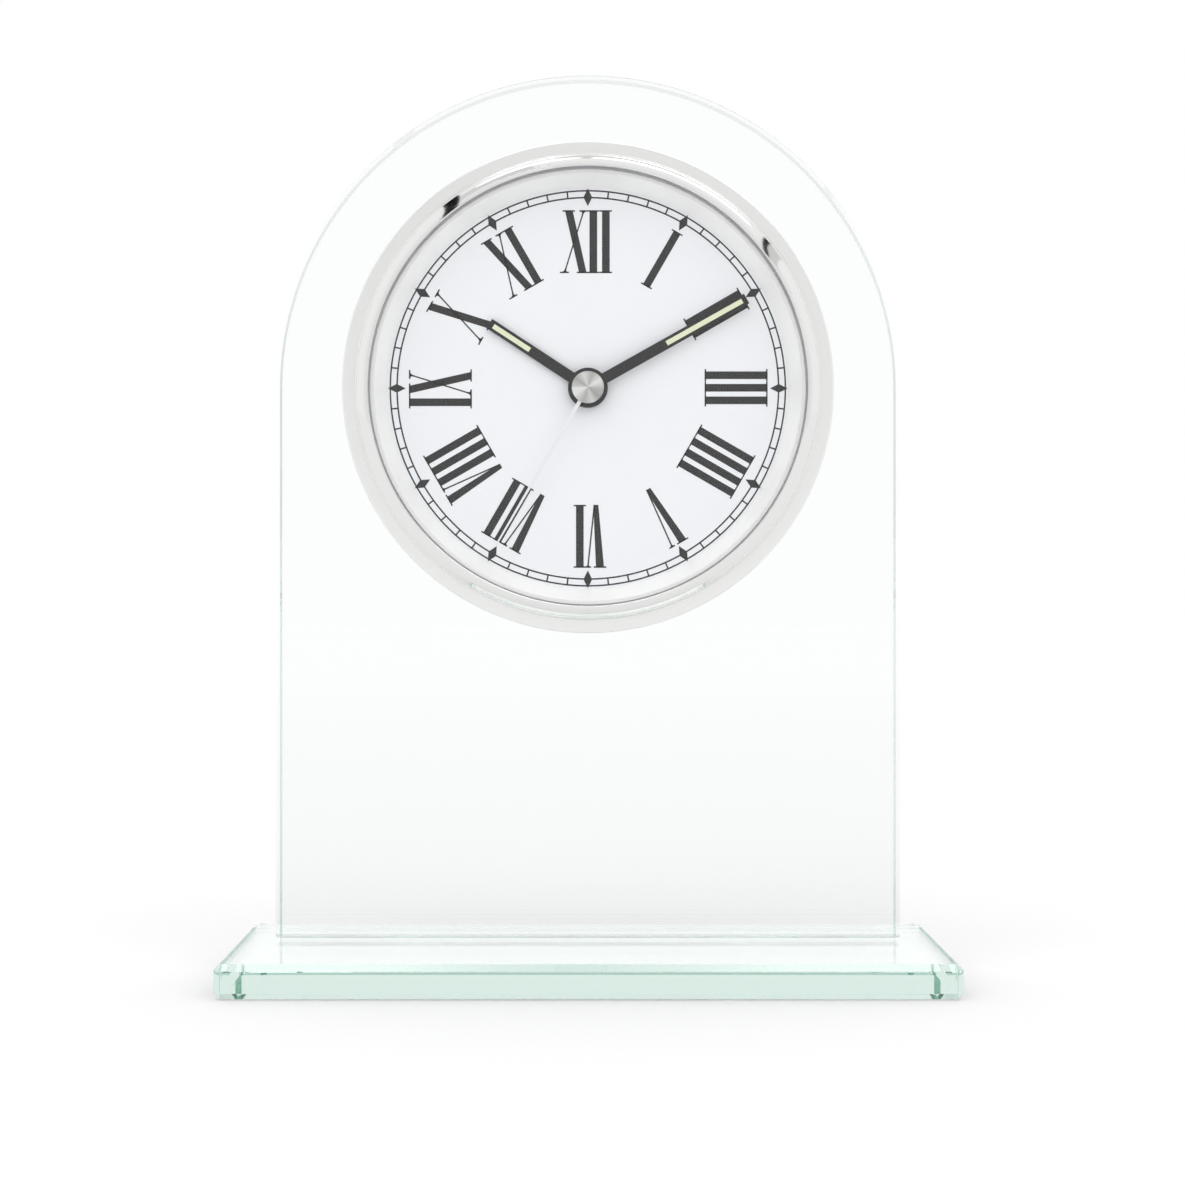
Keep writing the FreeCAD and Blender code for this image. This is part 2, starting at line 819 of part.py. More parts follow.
def rotor_magnet():
    return tube(magnet_radius, arbor_radius, magnet_front_y, magnet_front_y + magnet_thickness, rotor_place)


def rotor_pinion():
    teeth = pinion(rotor_pinion_teeth, intermediate_wheel_teeth, rotor_place, intermediate_place,
                   intermediate_layer)
    return teeth.fuse(arbor(rotor_place))


def intermediate_wheel():
    """The wheel between the rotor and the seconds wheel, with its pinion and arbor in one."""
    large = wheel(intermediate_wheel_teeth, rotor_pinion_teeth, intermediate_place, rotor_place,
                  intermediate_layer)
    small = pinion(intermediate_pinion_teeth, second_wheel_teeth, intermediate_place, centre_place,
                   second_layer)
    return large.fuse([small, arbor(intermediate_place)])


def second_wheel():
    """The wheel that turns once a minute, on the arbor that carries the second hand."""
    large = wheel(second_wheel_teeth, intermediate_pinion_teeth, centre_place, intermediate_place,
                  second_layer)
    small = pinion(second_pinion_teeth, third_wheel_teeth, centre_place, third_place, third_layer)
    front_y = dial_front_y - second_hand_height - second_hand_thickness
    shaft = rod(second_arbor_radius, front_y, bridge_front_y - running_clearance)
    pivot = rod(pivot_radius, bridge_front_y - overrun, bridge_front_y + pivot_depth)
    return large.fuse([small, shaft, pivot])


def third_wheel():
    large = wheel(third_wheel_teeth, second_pinion_teeth, third_place, centre_place, third_layer)
    small = pinion(third_pinion_teeth, centre_wheel_teeth, third_place, centre_place, centre_layer)
    return large.fuse([small, arbor(third_place)])


def minute_pipe_back_y():
    return centre_layer + wheel_thickness


def centre_wheel():
    """The wheel that turns once an hour and drives the minute pipe through the clutch."""
    disc = wheel(centre_wheel_teeth, third_pinion_teeth, centre_place, third_place, centre_layer)
    return disc.cut(rod(minute_pipe_radius + running_clearance, centre_layer - overrun,
                        centre_layer + wheel_thickness + overrun))


def clutch_spring():
    """The sprung washer between the centre wheel and the cannon pinion, which lets the hands be set."""
    y_to = centre_layer
    y_from = y_to - clutch_spring_thickness
    return tube(clutch_spring_radius, minute_pipe_radius + running_clearance, y_from, y_to)


def cannon_pinion():
    """The minute pipe and its pinion."""
    teeth = pinion(cannon_teeth, minute_wheel_teeth, centre_place, knob_place, minute_layer)
    front_y = dial_front_y - minute_hand_height - hand_thickness
    pipe = rod(minute_pipe_radius, front_y, minute_pipe_back_y())
    bore_radius = second_arbor_radius + running_clearance
    bore = rod(bore_radius, front_y - overrun, minute_pipe_back_y() + overrun)
    return teeth.fuse(pipe).cut(bore)


def minute_wheel():
    """The wheel and pinion that step the minute pipe down to the hour wheel, on the setting arbor."""
    large = wheel(minute_wheel_teeth, cannon_teeth, knob_place, centre_place, minute_layer)
    small = pinion(minute_pinion_teeth, hour_wheel_teeth, knob_place, centre_place, hour_layer)
    shaft = rod(knob_arbor_radius, plate_inner_y - pivot_depth, knob_back_y - knob_thickness, knob_place)
    return large.fuse([small, shaft])


def setting_knob():
    """The fluted wheel on the setting arbor, dished for a fingertip."""
    front_y = knob_back_y - knob_thickness
    knob = toothed(knob_flutes, knob_radius, knob_radius - knob_flute_depth, tooth_root_share,
                   tooth_root_share, front_y, knob_back_y, knob_place, 0.0)
    dish_radius = knob_radius - 2 * knob_flute_depth - knob_finger_dish
    dish = rod(dish_radius, knob_back_y - knob_finger_dish, knob_back_y + overrun, knob_place)
    return knob.cut(dish)


def hour_wheel():
    """The hour pipe and its wheel."""
    teeth = wheel(hour_wheel_teeth, minute_pinion_teeth, centre_place, knob_place, hour_layer)
    front_y = dial_front_y - hour_hand_height - hand_thickness
    back_y = hour_layer + wheel_thickness
    pipe = rod(hour_pipe_radius, front_y, back_y)
    bore = rod(minute_pipe_radius + running_clearance, front_y - overrun, back_y + overrun)
    return teeth.fuse(pipe).cut(bore)


# Hands

def hand(length, width, lume_length, pipe_radius, height, angle):
    """A flat-ended hand with a slot for its luminous strip and a round boss on its pipe."""
    y_to = dial_front_y - height
    y_from = y_to - hand_thickness
    blade = block(-width / 2, width / 2, y_from, y_to, 0, length)
    boss = rod(hand_boss_radius, y_from, y_to)
    slot = lume_block(length, lume_length, y_from - overrun, y_to + overrun)
    body = blade.fuse(boss).cut(slot).cut(rod(pipe_radius, y_from - overrun, y_to + overrun))
    return clockwise(body, angle)


def lume_block(length, lume_length, y_from, y_to):
    high = length - lume_tip_margin
    return block(-lume_width / 2, lume_width / 2, y_from, y_to, high - lume_length, high)


def hand_lume(length, lume_length, height, angle):
    y_to = dial_front_y - height
    return clockwise(lume_block(length, lume_length, y_to - hand_thickness, y_to), angle)


def second_hand():
    """A tapered needle with a small tube for the arbor."""
    y_to = dial_front_y - second_hand_height
    y_from = y_to - second_hand_thickness
    corners = [
        Vector(-second_hub_width / 2, y_from, 0),
        Vector(second_hub_width / 2, y_from, 0),
        Vector(second_tip_width / 2, y_from, second_hand_length),
        Vector(-second_tip_width / 2, y_from, second_hand_length),
    ]
    face = Part.Face(Part.makePolygon(corners + corners[:1]))
    needle = face.extrude(Vector(0, second_hand_thickness, 0))
    hub = rod(cap_radius - cap_skirt, y_from, y_to)
    hand_shape = needle.fuse(hub).cut(rod(second_arbor_radius, y_from - overrun, y_to + overrun))
    return clockwise(hand_shape, second_hand_angle)


def second_hand_cap():
    """The spun metal cap over the second hand's hub."""
    hub_front_y = dial_front_y - second_hand_height - second_hand_thickness
    front_y = hub_front_y - cap_height
    return turned([
        (0, hub_front_y),
        (cap_radius, hub_front_y),
        (cap_radius, front_y + cap_skirt),
        (cap_radius - cap_skirt, front_y),
        (0, front_y),
    ])


# Build

stand_pieces = {
    "glass_base": glass_base(),
    "glass_arch": glass_arch(),
    "bond_film": bond_film(),
}

insert_pieces = {
    "bezel_flange": bezel_flange(),
    "bezel_ring": bezel_ring(),
    "lens": lens(),
    "reflector_ring": reflector_ring(),
    "dial": dial(),
    "rear_cup": rear_cup(),
    "grip_ring": grip_ring(),
    "movement_front_plate": movement_front_plate(),
    "movement_back_case": movement_back_case(),
    "movement_screws": movement_screws(),
    "battery_cell": battery_cell(),
    "positive_contact": positive_contact(),
    "negative_contact": negative_contact(),
    "train_bridge": train_bridge(),
    "bridge_screws": bridge_screws(),
    "stator": stator(),
    "coil_core": coil_core(),
    "coil_bobbin": coil_bobbin(),
    "coil_winding": coil_winding(),
    "circuit_board": circuit_board(),
    "control_chip": control_chip(),
    "quartz_crystal": quartz_crystal(),
    "rotor_magnet": rotor_magnet(),
    "rotor_pinion": rotor_pinion(),
    "intermediate_wheel": intermediate_wheel(),
    "second_wheel": second_wheel(),
    "second_hand": second_hand(),
    "second_hand_cap": second_hand_cap(),
    "third_wheel": third_wheel(),
    "centre_wheel": centre_wheel(),
    "clutch_spring": clutch_spring(),
    "cannon_pinion": cannon_pinion(),
    "minute_hand": hand(minute_hand_length, minute_hand_width, minute_lume_length, minute_pipe_radius,
                        minute_hand_height, minute_hand_angle),
    "minute_hand_lume": hand_lume(minute_hand_length, minute_lume_length, minute_hand_height,
                                  minute_hand_angle),
    "minute_wheel": minute_wheel(),
    "setting_knob": setting_knob(),
    "hour_wheel": hour_wheel(),
    "hour_hand": hand(hour_hand_length, hour_hand_width, hour_lume_length, hour_pipe_radius,
                      hour_hand_height, hour_hand_angle),
    "hour_hand_lume": hand_lume(hour_hand_length, hour_lume_length, hour_hand_height, hour_hand_angle),
}

os.makedirs("parts", exist_ok=True)
for name, shape in stand_pieces.items():
    shape.exportStep("parts/" + name + ".step")
for name, shape in insert_pieces.items():
    lifted = shape.copy()
    lifted.translate(Vector(0, 0, clock_z))
    lifted.exportStep("parts/" + name + ".step")
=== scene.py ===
import math

import bmesh
import bpy
from mathutils import Matrix, Vector


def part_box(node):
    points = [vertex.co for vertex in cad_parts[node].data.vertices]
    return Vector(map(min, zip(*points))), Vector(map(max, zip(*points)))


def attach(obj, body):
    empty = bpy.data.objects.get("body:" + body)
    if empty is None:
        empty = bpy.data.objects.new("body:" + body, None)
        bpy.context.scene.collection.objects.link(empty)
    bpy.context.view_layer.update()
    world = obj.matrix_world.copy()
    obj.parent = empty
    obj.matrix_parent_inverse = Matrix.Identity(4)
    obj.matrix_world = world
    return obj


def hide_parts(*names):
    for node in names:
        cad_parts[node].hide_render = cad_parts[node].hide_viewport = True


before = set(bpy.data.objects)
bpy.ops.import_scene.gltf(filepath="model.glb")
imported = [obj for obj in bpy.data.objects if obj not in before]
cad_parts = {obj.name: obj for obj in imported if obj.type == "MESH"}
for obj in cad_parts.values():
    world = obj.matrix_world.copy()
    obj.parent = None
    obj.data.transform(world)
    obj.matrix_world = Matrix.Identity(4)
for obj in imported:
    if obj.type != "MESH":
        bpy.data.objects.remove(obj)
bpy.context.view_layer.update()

bl_info = {
    "name": "Arched glass mantel clock",
    "version": (1, 0, 0),
    "blender": (4, 5, 0),
    "location": "3D View > Sidebar > Clock",
    "description": "Dresses the arched glass mantel clock: printed dial, finishes and a plain studio",
    "category": "Object",
}

# Millimetres in the settings and the tables, metres in the meshes.
MM = 0.001

dial_low, dial_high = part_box("dial")
dial_face_y = dial_low.y
axis_z = (dial_low.z + dial_high.z) / 2


def linear(code):
    """Turns an sRGB hex colour to the linear colour that a shader takes."""
    channels = [int(code[start:start + 2], 16) / 255 for start in (1, 3, 5)]
    light = [c / 12.92 if c <= 0.04045 else ((c + 0.055) / 1.055) ** 2.4 for c in channels]
    return (*light, 1.0)


WHITE = linear("#ffffff")


# Settings

class DialPrintSettings(bpy.types.PropertyGroup):
    """Sizes of what is printed on the dial, measured from its centre"""

    track_outer: bpy.props.FloatProperty(
        name="Track outer radius", description="Radius of the outer minute line, in mm",
        default=36.35, min=20.0, max=36.8)
    track_inner: bpy.props.FloatProperty(
        name="Track inner radius", description="Radius of the inner minute line, in mm",
        default=35.1, min=18.0, max=36.0)
    line_width: bpy.props.FloatProperty(
        name="Line width", description="Width of the minute lines and marks, in mm",
        default=0.275, min=0.05, max=1.0)
    minute_marks: bpy.props.IntProperty(
        name="Minute marks", description="Number of marks between the two minute lines",
        default=60, min=12, max=120)
    diamond_middle: bpy.props.FloatProperty(
        name="Diamond radius", description="Radius of the middle of the hour diamonds, in mm",
        default=35.15, min=20.0, max=36.0)
    diamond_length: bpy.props.FloatProperty(
        name="Diamond length", description="Length of an hour diamond along the radius, in mm",
        default=3.25, min=0.5, max=3.6)
    diamond_width: bpy.props.FloatProperty(
        name="Diamond width", description="Width of an hour diamond across the radius, in mm",
        default=1.6, min=0.3, max=3.0)
    numeral_foot: bpy.props.FloatProperty(
        name="Numeral foot radius", description="Radius of the inner ends of the numerals, in mm",
        default=21.3, min=10.0, max=30.0)
    numeral_head: bpy.props.FloatProperty(
        name="Numeral head radius", description="Radius of the outer ends of the numerals, in mm",
        default=32.87, min=20.0, max=33.2)
    hairline: bpy.props.FloatProperty(
        name="Hairline", description="Width of the numerals' hairlines and serifs, in mm",
        default=0.26, min=0.05, max=0.5)
    ink_height: bpy.props.FloatProperty(
        name="Ink height", description="How far the print stands off the dial, in mm",
        default=0.03, min=0.01, max=0.1)


class FinishSettings(bpy.types.PropertyGroup):
    """Colours and strengths of the finishes"""

    glass_tint: bpy.props.FloatVectorProperty(
        name="Glass tint", description="Colour that the stand's glass lets through along a long path",
        subtype="COLOR", default=linear("#c4e3d8")[:3], min=0.0, max=1.0)
    glass_density: bpy.props.FloatProperty(
        name="Glass density", description="Strength of the glass's tint, per metre of glass",
        default=16.0, min=0.0, max=200.0)


class StudioSettings(bpy.types.PropertyGroup):
    """The camera and the light"""

    camera_place: bpy.props.FloatVectorProperty(
        name="Camera place", description="Where the camera stands",
        subtype="TRANSLATION", unit="LENGTH", default=(-0.0019, -0.430, 0.072))
    focal_length: bpy.props.FloatProperty(
        name="Focal length", description="Focal length of the lens on a 36 mm frame, in mm",
        default=71.48, min=20.0, max=200.0)
    sky: bpy.props.FloatProperty(
        name="Room light", description="Strength of the light that comes evenly from the room",
        default=1.06, min=0.0, max=2.0)


# Making materials and meshes

def add(tree, kind, values=None, links=None, **settings):
    """Adds a node with its own settings, its socket values and its links from (node, output).

    A socket that joins several links is given a list of them."""
    node = tree.nodes.new(kind)
    for name, value in settings.items():
        setattr(node, name, value)
    for socket, value in (values or {}).items():
        node.inputs[socket].default_value = value
    for socket, sources in (links or {}).items():
        for source, output in sources if isinstance(sources, list) else [sources]:
            tree.links.new(source.outputs[output], node.inputs[socket])
    return node


def new_material(name):
    material = bpy.data.materials.new(name)
    material.use_nodes = True
    material.node_tree.nodes.clear()
    return material, material.node_tree


def show(name, data):
    """Puts a new object in the scene."""
    piece = bpy.data.objects.new(name, data)
    bpy.context.scene.collection.objects.link(piece)
    return piece


def mesh_piece(mesh, material):
    """Puts a finished mesh in the scene under its own name, riding on the clock's body."""
    mesh.materials.clear()
    mesh.materials.append(material)
    piece = show(mesh.name, mesh)
    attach(piece, "clock_body")
    return piece


def finish_of(node):
    """The finish that a solid of the frame wears."""
    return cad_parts[node].material_slots[0].material


def plain_mesh(piece):
    """An object's mesh with its modifiers done. The object is removed."""
    done = piece.evaluated_get(bpy.context.evaluated_depsgraph_get())
    mesh = bpy.data.meshes.new_from_object(done)
    bpy.data.objects.remove(piece)
    return mesh


def outward_mesh(builder, name):
    """A closed shape as a mesh, with its faces turned outwards."""
    bmesh.ops.recalc_face_normals(builder, faces=builder.faces)
    mesh = bpy.data.meshes.new(name)
    builder.to_mesh(mesh)
    builder.free()
    return mesh


def raised(builder, corners, y_from, y_to, place=Matrix()):
    """A flat shape of (x, z) corners, made solid from one depth to another."""
    near = [builder.verts.new(place @ Vector((x, y_from, z))) for x, z in corners]
    far = [builder.verts.new(place @ Vector((x, y_to, z))) for x, z in corners]
    builder.faces.new(far)
    builder.faces.new(near[::-1])
    for number in range(len(corners)):
        follow = (number + 1) % len(corners)
        builder.faces.new((near[number], near[follow], far[follow], far[number]))


# Finishes of the glass

def float_glass(settings):
    # Soda-lime float glass with ground and polished edges: clear through the sheet, and aqua green
    # wherever the eye looks along it.
    material, tree = new_material("float_glass_polished")
    surface = add(tree, "ShaderNodeBsdfPrincipled", {
        "Base Color": WHITE, "Roughness": 0.0, "IOR": 1.52, "Transmission Weight": 1.0})
    depth = add(tree, "ShaderNodeVolumeAbsorption", {
        "Color": (*settings.glass_tint, 1.0), "Density": settings.glass_density})
    add(tree, "ShaderNodeOutputMaterial",
        links={"Surface": (surface, "BSDF"), "Volume": (depth, "Volume")})
    return material


def clear_sheet(name, colour, least_sheen):
    """A clear thin sheet that bends nothing: see-through, with a sheen that grows towards its edge."""
    material, tree = new_material(name)
    clear = add(tree, "ShaderNodeBsdfTransparent", {"Color": linear(colour)})
    sheen = add(tree, "ShaderNodeBsdfGlossy", {"Color": WHITE, "Roughness": 0.0})
    slant = add(tree, "ShaderNodeLayerWeight", {"Blend": 0.5})
    steep = add(tree, "ShaderNodeMath", {1: 5.0}, {0: (slant, "Facing")}, operation="POWER")
    share = add(tree, "ShaderNodeMapRange", {"To Min": least_sheen}, {"Value": (steep, 0)})
    both = add(tree, "ShaderNodeMixShader", links={0: (share, 0), 1: (clear, "BSDF"), 2: (sheen, "BSDF")})
    add(tree, "ShaderNodeOutputMaterial", links={"Surface": (both, "Shader")})
    return material


# Finishes of metal, plastic and paint

def grained(name, colour, roughness, metallic, grain_mm, bump_mm, spread=0.0, ior=None, **sockets):
    """A finish with a fine grain: its size in mm, its height in mm and how far the roughness wanders."""
    material, tree = new_material(name)
    place = add(tree, "ShaderNodeTexCoord")
    grain = add(tree, "ShaderNodeTexNoise", {"Scale": 1 / (grain_mm * MM), "Detail": 3.0},
                {"Vector": (place, "Object")})
    height = add(tree, "ShaderNodeBump", {"Strength": 1.0, "Distance": bump_mm * MM},
                 {"Height": (grain, "Fac")})
    values = {"Base Color": linear(colour), "Metallic": metallic, "Roughness": roughness}
    if ior is not None:
        values["IOR"] = ior
    for socket, value in sockets.items():
        values[socket.replace("_", " ").title()] = value
    links = {"Normal": (height, "Normal")}
    if spread:
        patch_mm = 14 * grain_mm
        wear = add(tree, "ShaderNodeTexNoise", {"Scale": 1 / (patch_mm * MM), "Detail": 4.0},
                   {"Vector": (place, "Object")})
        vary = add(tree, "ShaderNodeMapRange",
                   {"To Min": roughness - spread, "To Max": roughness + spread}, {"Value": (wear, "Fac")})
        links["Roughness"] = (vary, "Result")
    surface = add(tree, "ShaderNodeBsdfPrincipled", values, links)
    add(tree, "ShaderNodeOutputMaterial", links={"Surface": (surface, "BSDF")})
    return material


def bright_chrome():
    # Bright chrome plate: hard bright and dark reflections along the crown. The narrow lip round the
    # lens stays satin, because the polishing wheel doesn't reach it, so it blurs the dial it mirrors.
    # At its inner edge a grey line is painted into the plating's colour, a painted shadow line round the
    # lens.
    bright, painted_shadow_grey = "#ebebea", "#a9aaab"
    polished, satin = 0.06, 0.45
    lens_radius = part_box("lens")[1].x
    painted_shadow_edge = lens_radius + 0.22 * MM
    lip = lens_radius + 0.42 * MM
    material = grained("chrome_bright", bright, polished, 1.0, 4.0, 0.004)
    tree = material.node_tree
    place = add(tree, "ShaderNodeTexCoord")
    across = add(tree, "ShaderNodeVectorMath", {1: (1.0, 0.0, 1.0), 2: (0.0, 0.0, -axis_z)},
                 {0: (place, "Object")}, operation="MULTIPLY_ADD")
    radius = add(tree, "ShaderNodeVectorMath", links={0: (across, "Vector")}, operation="LENGTH")
    polish = add(tree, "ShaderNodeMapRange", {
        "From Min": lip, "From Max": lip + 0.05 * MM, "To Min": satin, "To Max": polished},
        {"Value": (radius, "Value")})
    # Painted shadow: the colour turns grey in a fine ring at the lip's inner edge, next to the lens.
    past_painted_shadow = add(tree, "ShaderNodeMapRange", {"From Min": painted_shadow_edge, "From Max": painted_shadow_edge + 0.03 * MM},
                {"Value": (radius, "Value")})
    tone_with_painted_shadow = add(tree, "ShaderNodeMix", {6: linear(painted_shadow_grey), 7: linear(bright)}, {0: (past_painted_shadow, "Result")},
               data_type="RGBA")
    surface = next(node for node in tree.nodes if node.type == "BSDF_PRINCIPLED")
    tree.links.new(polish.outputs["Result"], surface.inputs["Roughness"])
    tree.links.new(tone_with_painted_shadow.outputs[2], surface.inputs["Base Color"])
    return material


def spun_aluminium():
    # Spun aluminium: rings too fine to see turn each light into a pair of fans through the anisotropic
    # gloss, and the
    #     fans are also painted into the base colour as painted highlights and painted shade, so the tone
    #     goes round the cap from bright to grey and back.
    material, tree = new_material("aluminium_spun")
    place = add(tree, "ShaderNodeTexCoord")
    upright = add(tree, "ShaderNodeMapping", {"Location": (0.0, 0.0, -axis_z)},
                  {"Vector": (place, "Object")})
    laid = add(tree, "ShaderNodeMapping", {"Rotation": (math.radians(90), 0.0, 0.0)},
               {"Vector": (upright, 0)})
    # Painted highlights and painted shade: bright and grey fans set into the colour by the angle round the
    # cap.
    painted_fan_angle = add(tree, "ShaderNodeTexGradient", links={"Vector": (laid, 0)}, gradient_type="RADIAL")
    painted_fan_tones = add(tree, "ShaderNodeValToRGB", links={"Fac": (painted_fan_angle, "Fac")})
    painted_fan_stops = ((0.0, "#d9d9d7"), (0.1, "#b4b4b2"), (0.2, "#e6e6e4"), (0.3, "#bdbdbb"), (0.42, "#f4f4f2"),
             (0.52, "#c2c2c0"), (0.62, "#acacaa"), (0.7, "#dededc"), (0.8, "#bbbbb9"), (0.92, "#f0f0ee"))
    ramp = painted_fan_tones.color_ramp.elements
    while len(ramp) < len(painted_fan_stops):
        ramp.new(0.5)
    for stop, (where, colour) in zip(ramp, painted_fan_stops):
        stop.position = where
        stop.color = linear(colour)
    around = add(tree, "ShaderNodeVectorMath", {1: (0.0, 1.0, 0.0)}, {0: (upright, "Vector")},
                 operation="CROSS_PRODUCT")
    surface = add(tree, "ShaderNodeBsdfPrincipled", {
        "Metallic": 1.0, "Roughness": 0.3, "Anisotropic": 0.8},
        {"Base Color": (painted_fan_tones, "Color"), "Tangent": (around, "Vector")})
    add(tree, "ShaderNodeOutputMaterial", links={"Surface": (surface, "BSDF")})
    return material


def cell_sleeve():
    # Shrink sleeve over a steel can: glossy blue along the body, bare nickel plate at the two ends.
    bare_end = 1.2 * MM
    material, tree = new_material("cell_sleeve_shrunk")
    low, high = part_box("battery_cell")
    place = add(tree, "ShaderNodeTexCoord")
    along = add(tree, "ShaderNodeSeparateXYZ", links={"Vector": (place, "Object")})
    middle, reach = (low.x + high.x) / 2, (high.x - low.x) / 2 - bare_end
    sleeved = add(tree, "ShaderNodeMath", {1: middle, 2: reach}, {0: (along, "X")}, operation="COMPARE")
    bare = add(tree, "ShaderNodeMath", {0: 1.0}, {1: (sleeved, "Value")}, operation="SUBTRACT")
    colour = add(tree, "ShaderNodeMix", {6: linear("#1f3550"), 7: linear("#c9c6be")},
                 {0: (bare, "Value")}, data_type="RGBA")
    surface = add(tree, "ShaderNodeBsdfPrincipled", {"Roughness": 0.3},
                  {"Base Color": (colour, 2), "Metallic": (bare, "Value")})
    add(tree, "ShaderNodeOutputMaterial", links={"Surface": (surface, "BSDF")})
    return material


INK = "ink_black_screen_printed"
# The grained finish of each slot, the reflector and the print: name, colour, roughness, metallic, grain
# and bump in mm, how far the roughness wanders and, off metal, the IOR.
GRAINED = {
    # Satin chrome over a die casting: a soft even grey that never mirrors.
    "satin_metal": ("chrome_satin", "#f4f4f3", 0.34, 1.0, 0.3, 0.0015, 0.03),
    # Silver-white satin lacquer: paint with a slight lustre, almost as light as the dial.
    "reflector": ("lacquer_silver_satin", "#fdfdfc", 0.38, 0.12, 0.25, 0.002, 0.04, 1.5),
    # Aluminium blank sprayed with white lacquer: flat, faintly cool, with a very fine orange peel.
    "dial_white": ("lacquer_white_sprayed", "#f1f3f6", 0.5, 0.0, 0.5, 0.0006, 0.04, 1.45),
    # White ABS from a satin mould.
    "white_plastic": ("abs_white_moulded", "#e6e6e3", 0.38, 0.0, 0.25, 0.003, 0.05, 1.5),
    # Black ABS from a spark-eroded mould: a fine dry grain that greys the highlights.
    "case_plastic": ("abs_black_spark_eroded", "#202021", 0.5, 0.0, 0.18, 0.012, 0.06, 1.5),
    # Black acetal: smoother and a little waxy.
    "knob_plastic": ("acetal_black_moulded", "#202021", 0.34, 0.0, 0.3, 0.003, 0.04, 1.48),
    # Zinc-plated steel: bright with a bluish cast and uneven polish.
    "screw_steel": ("steel_zinc_plated", "#c3c6ca", 0.28, 1.0, 0.12, 0.003, 0.08),
    # Nickel-plated spring strip: warm, bright, with rolling marks.
    "contact_nickel": ("nickel_plated_strip", "#c9c4b8", 0.25, 1.0, 0.2, 0.002, 0.06),
    # Stamped transformer steel: dull grey from its oxide.
    "core_steel": ("steel_stamped_annealed", "#8b8c8e", 0.45, 1.0, 0.15, 0.003, 0.08),
    # Enamelled copper wire: orange brown under a glossy varnish.
    "copper_wire": ("copper_enamelled", "#b5672f", 0.3, 1.0, 0.1, 0.01, 0.05),
    # Glass-fibre board under green lacquer.
    "board_green": ("board_lacquered", "#1f5a33", 0.35, 0.0, 0.5, 0.006, 0.06, 1.5),
    # Drawn and nickel-plated crystal can.
    "crystal_can": ("steel_drawn_plated", "#cfcfce", 0.16, 1.0, 0.3, 0.001, 0.04),
    # Sintered magnet: dark, dull and slightly granular.
    "magnet": ("ferrite_sintered", "#47474b", 0.5, 0.6, 0.08, 0.006, 0.08),
    # Acetal gears: waxy off-white.
    "gear_plastic": ("acetal_natural_moulded", "#e4e1d6", 0.36, 0.0, 0.3, 0.002, 0.04, 1.48),
    # Stamped brass: warm yellow with a slight burr sheen.
    "gear_brass": ("brass_stamped", "#c9a75a", 0.26, 1.0, 0.2, 0.002, 0.06),
    # Satin black paint on stamped aluminium hands.
    "hand_black": ("paint_black_satin", "#131313", 0.36, 0.0, 0.3, 0.001, 0.03, 1.48),
    # Luminous paste: matt, chalky, pale green cream.
    "hand_lume": ("luminous_paste_dried", "#e3e7c8", 0.75, 0.0, 0.12, 0.01, 0.05, 1.45),
    # White enamel on the thin seconds needle.
    "second_white": ("enamel_white_brushed_on", "#e9eaeb", 0.35, 0.0, 0.2, 0.001, 0.03, 1.48),
    # Screen-printed black ink: its slight sheen lifts it to charcoal in the light.
    "ink": (INK, "#1c1c1d", 0.42, 0.0, 0.12, 0.0015, 0.05, 1.48),
}


def make_finishes(settings):
    """A finish for each material slot of the record, for the reflector and for the dial's print."""
    finishes = {slot: grained(*values) for slot, values in GRAINED.items()}
    finishes.update({
        "stand_glass": float_glass(settings),
        # Clear cured adhesive: a film that wets both glasses and all but vanishes.
        "bond": clear_sheet("adhesive_clear_cured", "#f2f6f4", 0.0),
        # Thin mineral glass, flat and clear: the dial shows through unchanged under a faint sheen.
        "lens_glass": clear_sheet("mineral_glass_flat", "#ffffff", 0.022),
        "polished_metal": bright_chrome(),
        # Milky silicone rubber: soft, with light going a little way in.
        "grip_rubber": grained("silicone_milky_moulded", "#d6d8d6", 0.55, 0.0, 0.4, 0.004, 0.05, 1.42,
                               subsurface_weight=0.3, subsurface_scale=0.002),
        "cell_jacket": cell_sleeve(),
        "cap_metal": spun_aluminium()})
    return finishes


# Printed minute track and hour diamonds, grown by Geometry Nodes

def grow(name, tree, sizes, material):
    """Runs a node tree with its sizes and gives its result as a plain mesh."""
    holder = show(name + "_holder", bpy.data.meshes.new(name + "_holder"))
    modifier = holder.modifiers.new("grow", "NODES")
    modifier.node_group = tree
    wanted = {**sizes, "Material": material}
    for socket in tree.interface.items_tree:
        if socket.in_out == "INPUT":
            modifier[socket.identifier] = wanted[socket.name]
    mesh = plain_mesh(holder)
    mesh.name = name
    if not mesh.vertices:
        raise RuntimeError(name + " came out empty")
    return mesh


def new_growth(name, **labels):
    """A Geometry Nodes tree, with the labels of its inputs given by kind, and its input node."""
    tree = bpy.data.node_groups.new(name, "GeometryNodeTree")
    for kind, names in {**labels, "Material": ["Material"]}.items():
        for label in names:
            tree.interface.new_socket(label, in_out="INPUT", socket_type="NodeSocket" + kind)
    tree.interface.new_socket("Geometry", in_out="OUTPUT", socket_type="NodeSocketGeometry")
    return tree, add(tree, "NodeGroupInput")


def end_growth(tree, given, shape):
    """Ends a tree: real geometry, in its material."""
    real = add(tree, "GeometryNodeRealizeInstances", links={0: (shape, 0)})
    dressed = add(tree, "GeometryNodeSetMaterial", links={0: (real, 0), "Material": (given, "Material")})
    add(tree, "NodeGroupOutput", links={0: (dressed, 0)})
    return tree


def end_on_dial(tree, given, drawing):
    """Ends a tree that is drawn flat about z = 0, its front along +Z: upright, its back on the dial."""
    depth = add(tree, "ShaderNodeMath", {1: -0.5, 2: dial_face_y}, {0: (given, "Ink height")},
                operation="MULTIPLY_ADD")
    place = add(tree, "ShaderNodeCombineXYZ", {"Z": axis_z}, {"Y": (depth, 0)})
    laid = add(tree, "GeometryNodeTransform", {"Rotation": (math.radians(90), 0.0, 0.0)},
               {0: (drawing, 0), "Translation": (place, 0)})
    return end_growth(tree, given, laid)


